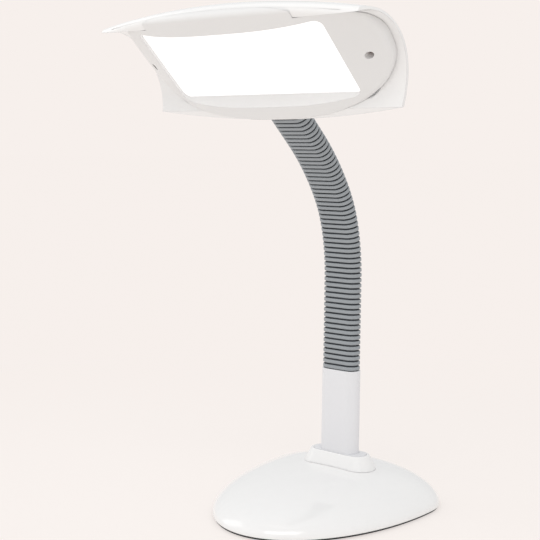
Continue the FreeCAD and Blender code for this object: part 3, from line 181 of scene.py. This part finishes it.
SKIN_OUTPUTS = [("Colour", "Color"), ("Roughness", "Float"), ("Normal", "Vector")]


def group_shell(name, inputs, outputs):
    """An empty shader node group with the named inputs (name, kind, default) and outputs (name, kind)."""
    group = bpy.data.node_groups.new(name, "ShaderNodeTree")
    for socket_name, kind, default in inputs:
        socket = group.interface.new_socket(name=socket_name, in_out="INPUT", socket_type="NodeSocket" + kind)
        socket.default_value = default
    for socket_name, kind in outputs:
        group.interface.new_socket(name=socket_name, in_out="OUTPUT", socket_type="NodeSocket" + kind)
    return group


def add_node(tree, kind, **settings):
    node = tree.nodes.new(kind)
    for key, value in settings.items():
        setattr(node, key, value)
    return node


def wire(tree, source, target):
    tree.links.new(source, target)


def moulded_skin():
    """Fine waviness and faint mottling of an injection-moulded surface."""
    inputs = [
        ("Colour", "Color", (0.8, 0.8, 0.8, 1)),
        ("Roughness", "Float", 0.2),
        ("Mottle", "Float", 0.03),
        ("Grain Scale", "Float", 900.0),
        ("Ripple", "Float", 0.1),
        ("Edge Radius", "Float", 0.0004),
    ]
    tree = group_shell("moulded_skin", inputs, SKIN_OUTPUTS)
    start = add_node(tree, "NodeGroupInput")
    end = add_node(tree, "NodeGroupOutput")
    place = add_node(tree, "ShaderNodeTexCoord")
    clouds = add_node(tree, "ShaderNodeTexNoise")
    clouds.inputs["Scale"].default_value = CLOUD_SCALE
    clouds.inputs["Detail"].default_value = 3.0
    wire(tree, place.outputs["Object"], clouds.inputs["Vector"])
    darker = add_node(tree, "ShaderNodeMix", data_type="RGBA", blend_type="MULTIPLY")
    spread = add_node(tree, "ShaderNodeMath", operation="MULTIPLY")
    wire(tree, clouds.outputs["Fac"], spread.inputs[0])
    wire(tree, start.outputs["Mottle"], spread.inputs[1])
    wire(tree, spread.outputs[0], darker.inputs["Factor"])
    wire(tree, start.outputs["Colour"], darker.inputs["A"])
    darker.inputs["B"].default_value = CLOUD_TINT
    wire(tree, darker.outputs["Result"], end.inputs["Colour"])
    sheen = add_node(tree, "ShaderNodeMath", operation="MULTIPLY_ADD")
    sheen.inputs[1].default_value = CLOUD_SHEEN
    wire(tree, clouds.outputs["Fac"], sheen.inputs[0])
    wire(tree, start.outputs["Roughness"], sheen.inputs[2])
    wire(tree, sheen.outputs[0], end.inputs["Roughness"])
    grain = add_node(tree, "ShaderNodeTexNoise")
    grain.inputs["Detail"].default_value = 2.0
    wire(tree, place.outputs["Object"], grain.inputs["Vector"])
    wire(tree, start.outputs["Grain Scale"], grain.inputs["Scale"])
    soften = add_node(tree, "ShaderNodeBevel", samples=4)
    wire(tree, start.outputs["Edge Radius"], soften.inputs["Radius"])
    bump = add_node(tree, "ShaderNodeBump")
    bump.inputs["Distance"].default_value = GRAIN_RELIEF
    wire(tree, start.outputs["Ripple"], bump.inputs["Strength"])
    wire(tree, grain.outputs["Fac"], bump.inputs["Height"])
    wire(tree, soften.outputs["Normal"], bump.inputs["Normal"])
    wire(tree, bump.outputs["Normal"], end.inputs["Normal"])
    return tree


def drawn_metal():
    """Fine lines along one direction, as left by rolling or turning."""
    inputs = [
        ("Colour", "Color", (0.6, 0.6, 0.6, 1)),
        ("Roughness", "Float", 0.3),
        ("Line Scale", "Float", 1500.0),
        ("Line Depth", "Float", 0.2),
    ]
    tree = group_shell("drawn_metal", inputs, SKIN_OUTPUTS)
    start = add_node(tree, "NodeGroupInput")
    end = add_node(tree, "NodeGroupOutput")
    place = add_node(tree, "ShaderNodeTexCoord")
    stretch = add_node(tree, "ShaderNodeMapping")
    stretch.inputs["Scale"].default_value = LINE_STRETCH
    wire(tree, place.outputs["Object"], stretch.inputs["Vector"])
    lines = add_node(tree, "ShaderNodeTexNoise")
    lines.inputs["Detail"].default_value = 4.0
    wire(tree, stretch.outputs["Vector"], lines.inputs["Vector"])
    wire(tree, start.outputs["Line Scale"], lines.inputs["Scale"])
    tint = add_node(tree, "ShaderNodeMix", data_type="RGBA", blend_type="MULTIPLY")
    tint.inputs["B"].default_value = LINE_TINT
    share = add_node(tree, "ShaderNodeMath", operation="MULTIPLY")
    share.inputs[1].default_value = LINE_SHARE
    wire(tree, lines.outputs["Fac"], share.inputs[0])
    wire(tree, share.outputs[0], tint.inputs["Factor"])
    wire(tree, start.outputs["Colour"], tint.inputs["A"])
    wire(tree, tint.outputs["Result"], end.inputs["Colour"])
    rough = add_node(tree, "ShaderNodeMath", operation="MULTIPLY_ADD")
    rough.inputs[1].default_value = LINE_SHEEN
    wire(tree, lines.outputs["Fac"], rough.inputs[0])
    wire(tree, start.outputs["Roughness"], rough.inputs[2])
    wire(tree, rough.outputs[0], end.inputs["Roughness"])
    bump = add_node(tree, "ShaderNodeBump")
    bump.inputs["Distance"].default_value = LINE_RELIEF
    wire(tree, start.outputs["Line Depth"], bump.inputs["Strength"])
    wire(tree, lines.outputs["Fac"], bump.inputs["Height"])
    wire(tree, bump.outputs["Normal"], end.inputs["Normal"])
    return tree


def shared_effect(name):
    """The named node group, built the first time it is asked for."""
    makers = {"moulded_skin": moulded_skin, "drawn_metal": drawn_metal}
    return bpy.data.node_groups.get(name) or makers[name]()


def rgba(value):
    return (value[0], value[1], value[2], 1.0)


def finish(name, effect, values, **shader):
    """A material whose shared effect feeds colour, roughness and normal of its own shader."""
    material = bpy.data.materials.new(name)
    material.use_nodes = True
    tree = material.node_tree
    skin = tree.nodes["Principled BSDF"]
    group = add_node(tree, "ShaderNodeGroup", node_tree=shared_effect(effect))
    for key, value in values.items():
        group.inputs[key].default_value = value
    wire(tree, group.outputs["Colour"], skin.inputs["Base Color"])
    wire(tree, group.outputs["Roughness"], skin.inputs["Roughness"])
    wire(tree, group.outputs["Normal"], skin.inputs["Normal"])
    for key, value in shader.items():
        skin.inputs[key.replace("_", " ")].default_value = value
    return material


def moulding(name, tone, roughness, mottle=0.03, grain=900.0, ripple=0.1, edge=0.0004, **shader):
    values = {"Colour": rgba(tone), "Roughness": roughness, "Mottle": mottle}
    values.update({"Grain Scale": grain, "Ripple": ripple, "Edge Radius": edge})
    return finish(name, "moulded_skin", values, **shader)


def metal(name, tone, roughness, lines=1500.0, depth=0.2, **shader):
    values = {"Colour": rgba(tone), "Roughness": roughness, "Line Scale": lines, "Line Depth": depth}
    return finish(name, "drawn_metal", values, Metallic=1.0, **shader)


def plated():
    return metal("plated_screw", PLATED_STEEL, 0.28)


def cast(name):
    return metal(name, CAST_ALLOY, 0.45, lines=400, depth=0.5)


def light_up(material, tone, strength):
    skin = material.node_tree.nodes["Principled BSDF"]
    skin.inputs["Emission Color"].default_value = rgba(tone)
    skin.inputs["Emission Strength"].default_value = strength


def dress(node, material):
    """Give a carried-over part its material."""
    part = NODES[node]
    if not part.material_slots:
        part.data.materials.append(material)
    for slot in part.material_slots:
        slot.material = material


# Neck sleeves


def knots():
    """Point and back direction at each hinge, with one more below the lowest and above the highest."""
    pitch = [JOINTS["pitch_%02d" % k] for k in range(1, HINGES + 1)]
    roll = [JOINTS["roll_%02d" % k] for k in range(1, HINGES + 1)]
    rows = []
    for lower, upper in zip(pitch, roll):
        rows.append((Vector(lower["pos_m"]), Vector(upper["axis"])))
    step = (rows[1][0] - rows[0][0]).length
    first = (rows[0][0] - Vector((0, 0, step)), rows[0][1])
    last_point, last_back = rows[-1]
    along = Vector((1, 0, 0)).cross(last_back)
    last = (last_point + along * step * LAST_STRETCH, last_back)
    return [first] + rows + [last]


def along_neck(rows, k, share):
    """Point, back and along directions on the curve from knot k to knot k + 1, at this share of the way."""
    point_a, back_a = rows[k]
    point_b, back_b = rows[k + 1]
    x_axis = Vector((1, 0, 0))
    span = (point_b - point_a).length
    along_a, along_b = x_axis.cross(back_a) * span, x_axis.cross(back_b) * span
    t, u = share, 1 - share
    point = point_a * (u * u * (1 + 2 * t)) + along_a * (t * u * u)
    point += point_b * (t * t * (3 - 2 * t)) - along_b * (t * t * u)
    back = (back_a * u + back_b * t).normalized()
    return point, back, x_axis.cross(back)


def stadium_ring(half_width, half_depth, steps):
    """Outline of a bar with half-round ends, seen along the neck."""
    points = []
    for side in (1, -1):
        for i in range(steps + 1):
            angle = math.pi * (i / steps - 0.5)
            x = side * (half_width - half_depth + half_depth * math.cos(angle))
            points.append((x, side * half_depth * math.sin(angle)))
    return points


def sleeve_profile(neck, ribs, plain_below, lip_above):
    """Rings of one sleeve as (distance along, inset, in a groove), from its lower end face to its upper; rings
    in a groove get the painted shade.
    """
    depth = neck.groove_depth
    half = neck.rib_height / 2
    bevel = neck.edge_round
    gap = neck.rib_pitch / 2
    rings = []
    if plain_below:
        rings += [(-gap, depth * TAIL, True), (0.0, depth * TAIL, True), (0.0, depth, True)]
    else:
        rings += [(gap * TONGUE_REACH, depth * TONGUE, True), (gap * THROAT_REACH, depth * TONGUE, True)]
        rings += [(gap * THROAT_REACH, depth * THROAT, True)]
    for i in range(ribs):
        middle = (i + 0.5) * neck.rib_pitch
        edge = [(half, SHOULDER * depth), (half, bevel)]
        edge += [(half - 0.3 * bevel, 0.3 * bevel), (half - bevel, 0.0)]
        rings += [(middle - rise, inset, False) for rise, inset in edge]
        rings += [(middle + rise, inset, False) for rise, inset in reversed(edge)]
        top = middle + neck.rib_pitch / 2
        if i < ribs - 1:
            rings += [(middle + half, depth, True), (top + neck.rib_pitch / 2 - half, depth, True)]
    end = ribs * neck.rib_pitch
    if lip_above:
        rings += [(end - gap + half, depth * LIP_OUTSIDE, True), (end + LIP_REACH, depth * LIP_OUTSIDE, True)]
        rings += [(end + LIP_REACH, depth * LIP_INSIDE, True)]
        rings += [(end - gap * TONGUE_REACH, depth * LIP_INSIDE, True)]
    else:
        rings += [(end - gap + half, depth, True), (end, depth, True), (end, depth * END_FACE, True)]
    return rings


def sleeve(name, rows, k, span, ribs, neck, materials, plain_below=False, lip_above=True):
    """One rigid sleeve of the neck, from knot k on; materials are that of its ribs and the painted shade for
    its grooves and end faces.
    """
    vertices, faces, dark = [], [], []
    rings = sleeve_profile(neck, ribs, plain_below, lip_above)
    for distance, inset, groove in rings:
        point, back, along = along_neck(rows, k, distance / span)
        ring = stadium_ring(neck.rib_width / 2 - inset, neck.rib_depth / 2 - inset, neck.arc_steps)
        vertices += [point + Vector((1, 0, 0)) * x + back * y for x, y in ring]
    count = len(ring)
    for r in range(len(rings) - 1):
        for i in range(count):
            j = (i + 1) % count
            faces.append((r * count + i, r * count + j, (r + 1) * count + j, (r + 1) * count + i))
            dark.append(rings[r][2] or rings[r + 1][2])
    faces.append(tuple(reversed(range(count))))
    faces.append(tuple(range((len(rings) - 1) * count, len(rings) * count)))
    # The end faces get the painted shade too
    dark += [True, True]
    mesh = bpy.data.meshes.new(name)
    mesh.from_pydata(vertices, [], faces)
    for material in materials:
        mesh.materials.append(material)
    # Faces in a groove and the end faces take the second material, the painted shade
    for polygon, groove in zip(mesh.polygons, dark):
        polygon.material_index = 1 if groove else 0
    mesh.shade_smooth()
    mesh.set_sharp_from_angle(angle=SHARPEST_SMOOTH_EDGE)
    piece = bpy.data.objects.new(name, mesh)
    bpy.context.collection.objects.link(piece)
    return piece


# Operators, one for each piece or group of like pieces


class LampOperator:
    """What the lamp's operators share."""

    bl_options = {"REGISTER", "UNDO"}


class LAMP_OT_foot(LampOperator, bpy.types.Operator):
    """Finish the weighted foot, its plate, feet and screws"""

    bl_idname = "lamp.foot"
    bl_label = "Foot"

    def execute(self, context):
        look = context.scene.lamp_finishes
        coat = {"Coat_Weight": 0.5, "Coat_Roughness": 0.04}
        gloss = moulding("shell_white", look.shell_colour, look.shell_roughness, ripple=look.ripple, **coat)
        dress("base_cover", gloss)
        dress("base_plate", moulding("plate_enamel", BLACK_PLASTIC, 0.45, grain=1500, ripple=0.4))
        casting = {"mottle": 0.5, "grain": 400, "ripple": 1.0}
        dress("base_weight", moulding("raw_casting", (0.12, 0.12, 0.125), 0.7, **casting))
        dress("rubber_feet", moulding("foot_rubber", (0.02, 0.02, 0.02), 0.75, grain=2500, ripple=0.5))
        for node in ("base_screws", "socket_screws", "board_screws"):
            dress(node, plated())
        black = moulding("black_fitting", BLACK_PLASTIC, 0.4, grain=1800, ripple=0.3)
        dress("cord_gland", black)
        dress("gland_nut", black)
        return {"FINISHED"}


class LAMP_OT_electrics(LampOperator, bpy.types.Operator):
    """Finish the ballast board and what stands on it"""

    bl_idname = "lamp.electrics"
    bl_label = "Ballast Board"

    def execute(self, context):
        laminate = {"mottle": 0.4, "grain": 700, "ripple": 0.3}
        tape = {"mottle": 0.3, "grain": 1200, "ripple": 0.5}
        shrink = {"mottle": 0.1, "ripple": 0.2}
        nylon = {"mottle": 0.1, "ripple": 0.3}
        dress("ballast_board", moulding("board_laminate", (0.01, 0.12, 0.05), 0.3, **laminate))
        dress("board_standoffs", metal("turned_brass", (0.7, 0.5, 0.2), 0.25))
        dress("ballast_choke", moulding("choke_tape", (0.55, 0.42, 0.06), 0.35, **tape))
        dress("ballast_capacitors", moulding("shrink_sleeve", (0.02, 0.03, 0.09), 0.25, **shrink))
        dress("board_connectors", moulding("connector_nylon", (0.78, 0.75, 0.68), 0.45, **nylon))
        return {"FINISHED"}


class LAMP_OT_stem(LampOperator, bpy.types.Operator):
    """Finish the collar, the stem and its socket"""

    bl_idname = "lamp.stem"
    bl_label = "Collar and Stem"

    def execute(self, context):
        look = context.scene.lamp_finishes
        dress("collar", moulding("collar_white", look.shell_colour, 0.2, ripple=look.ripple, edge=0.0008))
        dress("stem_insert", moulding("insert_white", look.stem_colour, 0.38, grain=1600, ripple=0.3))
        skin = {"mottle": 0.02, "grain": 1400, "ripple": 0.15}
        dress("stem", moulding("stem_satin", look.stem_colour, look.stem_roughness, **skin))
        dress("stem_socket", cast("die_cast"))
        return {"FINISHED"}


class LAMP_OT_neck(LampOperator, bpy.types.Operator):
    """Build the ribbed sleeves of the neck over its steel crosses"""

    bl_idname = "lamp.neck"
    bl_label = "Neck"

    def execute(self, context):
        neck = context.scene.lamp_neck
        skin = {"grain": 1800, "ripple": 0.35}
        ribs = moulding("rib_grey", neck.rib_colour, 0.42, mottle=0.15, edge=0.0003, **skin)
        # The grooves get the painted shade colour, much darker than the ribs, in place of real shading
        grooves = moulding("groove_painted_shade", neck.groove_shade_colour, 0.6, mottle=0.1, **skin)
        greys = (ribs, grooves)
        rows = knots()
        span = (rows[1][0] - rows[0][0]).length
        span_end = (rows[-1][0] - rows[-2][0]).length
        lower = sleeve("neck_sleeve_lower", rows, 0, span, SLEEVE_RIBS, neck, greys, plain_below=True)
        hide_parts("neck_end_lower")
        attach(lower, "foot")
        for k in range(1, HINGES):
            link = sleeve("neck_sleeve_%02d" % k, rows, k, span, SLEEVE_RIBS, neck, greys)
            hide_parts("neck_link_%02d" % k)
            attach(link, "link_%02d" % k)
        top = (HINGES, span_end, TOP_SLEEVE_RIBS)
        upper = sleeve("neck_sleeve_upper", rows, *top, neck, greys, lip_above=False)
        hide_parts("neck_end_upper", "neck_ferrule")
        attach(upper, "head")
        for k in range(1, HINGES + 1):
            dress("neck_pivot_%02d" % k, metal("cross_steel", (0.55, 0.55, 0.56), 0.3))
        return {"FINISHED"}


class LAMP_OT_hood(LampOperator, bpy.types.Operator):
    """Finish the hood, the front panel and what holds them"""

    bl_idname = "lamp.hood"
    bl_label = "Hood and Panel"

    def execute(self, context):
        look = context.scene.lamp_finishes
        skin = {"ripple": look.ripple, "edge": 0.0009}
        dress("head_hood", moulding("hood_white", look.shell_colour, look.shell_roughness, **skin))
        skin = {"mottle": 0.02, "grain": 1500, "ripple": 0.25}
        dress("front_panel", moulding("panel_satin", look.panel_colour, look.panel_roughness, **skin))
        dress("head_bracket", cast("bracket_cast"))
        for node in ("bracket_screws", "reflector_screws", "holder_screws"):
            dress(node, plated())
        dress("panel_screws", metal("bronzed_screw", (0.45, 0.33, 0.3), 0.4))
        return {"FINISHED"}


class LAMP_OT_light(LampOperator, bpy.types.Operator):
    """Finish the lit window, the tubes, the reflector and the tube holder"""

    bl_idname = "lamp.light"
    bl_label = "Light Source"

    def execute(self, context):
        light = context.scene.lamp_light
        sheet = {"mottle": 0.01, "grain": 1200, "ripple": 0.2, "edge": 0.0002}
        opal = moulding("opal_sheet", (0.9, 0.9, 0.9), 0.35, **sheet)
        light_up(opal, light.glow_colour, light.glow_strength)
        dress("diffuser", opal)
        phosphor = moulding("phosphor_glass", (0.92, 0.93, 0.94), 0.12, mottle=0.05, grain=600)
        light_up(phosphor, light.glow_colour, light.tube_strength)
        dress("lamp_tubes", phosphor)
        nylon = moulding("holder_nylon", (0.8, 0.79, 0.76), 0.4, mottle=0.05, ripple=0.2)
        dress("lamp_cap", nylon)
        dress("lamp_holder", nylon)
        dress("lamp_pins", metal("pin_brass", (0.72, 0.55, 0.25), 0.2))
        dress("reflector", metal("bright_sheet", (0.9, 0.9, 0.9), 0.1, lines=2500, depth=0.1))
        return {"FINISHED"}


class LAMP_OT_switch(LampOperator, bpy.types.Operator):
    """Finish the rocker switch in the back of the head"""

    bl_idname = "lamp.switch"
    bl_label = "Switch"

    def execute(self, context):
        dress("switch_housing", moulding("switch_case", BLACK_PLASTIC, 0.35, grain=1800, ripple=0.3))
        dress("switch_rocker", moulding("switch_key", (0.018, 0.018, 0.02), 0.2, grain=1800, edge=0.0006))
        return {"FINISHED"}


def stage_material(stage):
    """The floor shows the backdrop colour to the camera and keeps a share of its own shading."""
    material = bpy.data.materials.new("studio_paper")
    material.use_nodes = True
    tree = material.node_tree
    paper = tree.nodes["Principled BSDF"]
    paper.inputs["Roughness"].default_value = FLOOR_ROUGHNESS
    paper.inputs["Specular IOR Level"].default_value = 0.0
    fibres = add_node(tree, "ShaderNodeTexNoise")
    fibres.inputs["Scale"].default_value = FIBRE_SCALE
    shade = add_node(tree, "ShaderNodeMix", data_type="RGBA")
    shade.inputs["A"].default_value = rgba(stage.backdrop)
    shade.inputs["B"].default_value = rgba([tone * FIBRE_TONE for tone in stage.backdrop])
    wire(tree, fibres.outputs["Fac"], shade.inputs["Factor"])
    paper.inputs["Base Color"].default_value = FLOOR_TINT
    glow = add_node(tree, "ShaderNodeEmission")
    wire(tree, shade.outputs["Result"], glow.inputs["Color"])
    path = add_node(tree, "ShaderNodeLightPath")
    seen = add_node(tree, "ShaderNodeMath", operation="MAXIMUM")
    wire(tree, path.outputs["Is Camera Ray"], seen.inputs[0])
    wire(tree, path.outputs["Is Glossy Ray"], seen.inputs[1])
    place = add_node(tree, "ShaderNodeTexCoord")
    away = add_node(tree, "ShaderNodeVectorMath", operation="LENGTH")
    wire(tree, place.outputs["Object"], away.inputs[0])
    plain = add_node(tree, "ShaderNodeMapRange", interpolation_type="SMOOTHSTEP")
    plain.inputs["From Min"].default_value = stage.shadow_reach * SHADOW_CORE
    plain.inputs["From Max"].default_value = stage.shadow_reach
    plain.inputs["To Min"].default_value = 1.0 - stage.shadow_share
    wire(tree, away.outputs["Value"], plain.inputs["Value"])
    share = add_node(tree, "ShaderNodeMath", operation="MULTIPLY")
    wire(tree, seen.outputs[0], share.inputs[0])
    wire(tree, plain.outputs["Result"], share.inputs[1])
    mix = add_node(tree, "ShaderNodeMixShader")
    wire(tree, share.outputs[0], mix.inputs[0])
    wire(tree, paper.outputs[0], mix.inputs[1])
    wire(tree, glow.outputs[0], mix.inputs[2])
    wire(tree, mix.outputs[0], tree.nodes["Material Output"].inputs["Surface"])
    return material


def softbox(name, power, place, aim, width, height):
    data = bpy.data.lights.new(name, "AREA")
    data.shape = "RECTANGLE"
    data.size = width
    data.size_y = height
    data.energy = power
    lamp = bpy.data.objects.new(name, data)
    lamp.location = place
    lamp.rotation_euler = (Vector(aim) - Vector(place)).to_track_quat("-Z", "Y").to_euler()
    bpy.context.collection.objects.link(lamp)


class LAMP_OT_stage(LampOperator, bpy.types.Operator):
    """Set up the floor, the backdrop, the lights and the camera"""

    bl_idname = "lamp.stage"
    bl_label = "Studio"

    def execute(self, context):
        stage = context.scene.lamp_stage
        mesh = bpy.data.meshes.new("studio_floor")
        reach = FLOOR_REACH
        corners = [(-reach, -reach, 0), (reach, -reach, 0), (reach, reach, 0), (-reach, reach, 0)]
        mesh.from_pydata(corners, [], [(0, 1, 2, 3)])
        mesh.materials.append(stage_material(stage))
        floor = bpy.data.objects.new("studio_floor", mesh)
        context.collection.objects.link(floor)
        self.light_world(context.scene, stage)
        softbox("key_softbox", stage.key_power, **KEY_BOX)
        softbox("side_softbox", stage.rim_power, **SIDE_BOX)
        self.place_camera(context.scene, stage)
        context.scene.view_settings.view_transform = "Standard"
        return {"FINISHED"}

    def light_world(self, scene, stage):
        world = bpy.data.worlds.new("studio_air")
        scene.world = world
        world.use_nodes = True
        tree = world.node_tree
        fill = tree.nodes["Background"]
        fill.inputs["Color"].default_value = (1, 1, 1, 1)
        fill.inputs["Strength"].default_value = stage.world_strength
        seen = add_node(tree, "ShaderNodeBackground")
        seen.inputs["Color"].default_value = rgba(stage.backdrop)
        path = add_node(tree, "ShaderNodeLightPath")
        mix = add_node(tree, "ShaderNodeMixShader")
        wire(tree, path.outputs["Is Camera Ray"], mix.inputs[0])
        wire(tree, fill.outputs[0], mix.inputs[1])
        wire(tree, seen.outputs[0], mix.inputs[2])
        wire(tree, mix.outputs[0], tree.nodes["World Output"].inputs["Surface"])

    def place_camera(self, scene, stage):
        turn, dip, lean = CAMERA_TURN, CAMERA_DIP, CAMERA_LEAN
        ahead = Vector((-math.sin(turn) * math.cos(dip), math.cos(turn) * math.cos(dip), -math.sin(dip)))
        level = Vector((math.cos(turn), math.sin(turn), 0))
        plumb = level.cross(ahead)
        right = level * math.cos(lean) + plumb * math.sin(lean)
        up = plumb * math.cos(lean) - level * math.sin(lean)
        data = bpy.data.cameras.new("photo_camera")
        data.lens = stage.focal_length
        data.sensor_width = SENSOR_WIDTH
        data.clip_end = CAMERA_REACH
        camera = bpy.data.objects.new("photo_camera", data)
        spin = Matrix((right, up, -ahead)).transposed()
        camera.matrix_world = Matrix.Translation(CAMERA_PLACE) @ spin.to_4x4()
        bpy.context.collection.objects.link(camera)
        scene.camera = camera


OPERATORS = (
    LAMP_OT_foot,
    LAMP_OT_electrics,
    LAMP_OT_stem,
    LAMP_OT_neck,
    LAMP_OT_hood,
    LAMP_OT_light,
    LAMP_OT_switch,
    LAMP_OT_stage,
)


class LAMP_PT_sidebar(bpy.types.Panel):
    """The lamp's pieces and settings in the sidebar"""

    bl_label = "Light Therapy Lamp"
    bl_idname = "LAMP_PT_sidebar"
    bl_space_type = "VIEW_3D"
    bl_region_type = "UI"
    bl_category = "Lamp"

    def draw(self, context):
        layout = self.layout
        for operator in OPERATORS:
            layout.operator(operator.bl_idname)
        for name in SETTINGS:
            box = layout.box()
            settings = getattr(context.scene, name)
            for key in settings.__annotations__:
                box.prop(settings, key)


SETTINGS = {
    "lamp_finishes": LampFinishes,
    "lamp_neck": LampNeck,
    "lamp_light": LampLight,
    "lamp_stage": LampStage,
}
CLASSES = tuple(SETTINGS.values()) + OPERATORS + (LAMP_PT_sidebar,)


def register():
    for item in CLASSES:
        bpy.utils.register_class(item)
    for name, kind in SETTINGS.items():
        setattr(bpy.types.Scene, name, bpy.props.PointerProperty(type=kind))


def unregister():
    for name in SETTINGS:
        delattr(bpy.types.Scene, name)
    for item in reversed(CLASSES):
        bpy.utils.unregister_class(item)


def main():
    register()
    for operator in OPERATORS:
        category, action = operator.bl_idname.split(".")
        getattr(getattr(bpy.ops, category), action)()


if __name__ == "__main__":
    main()
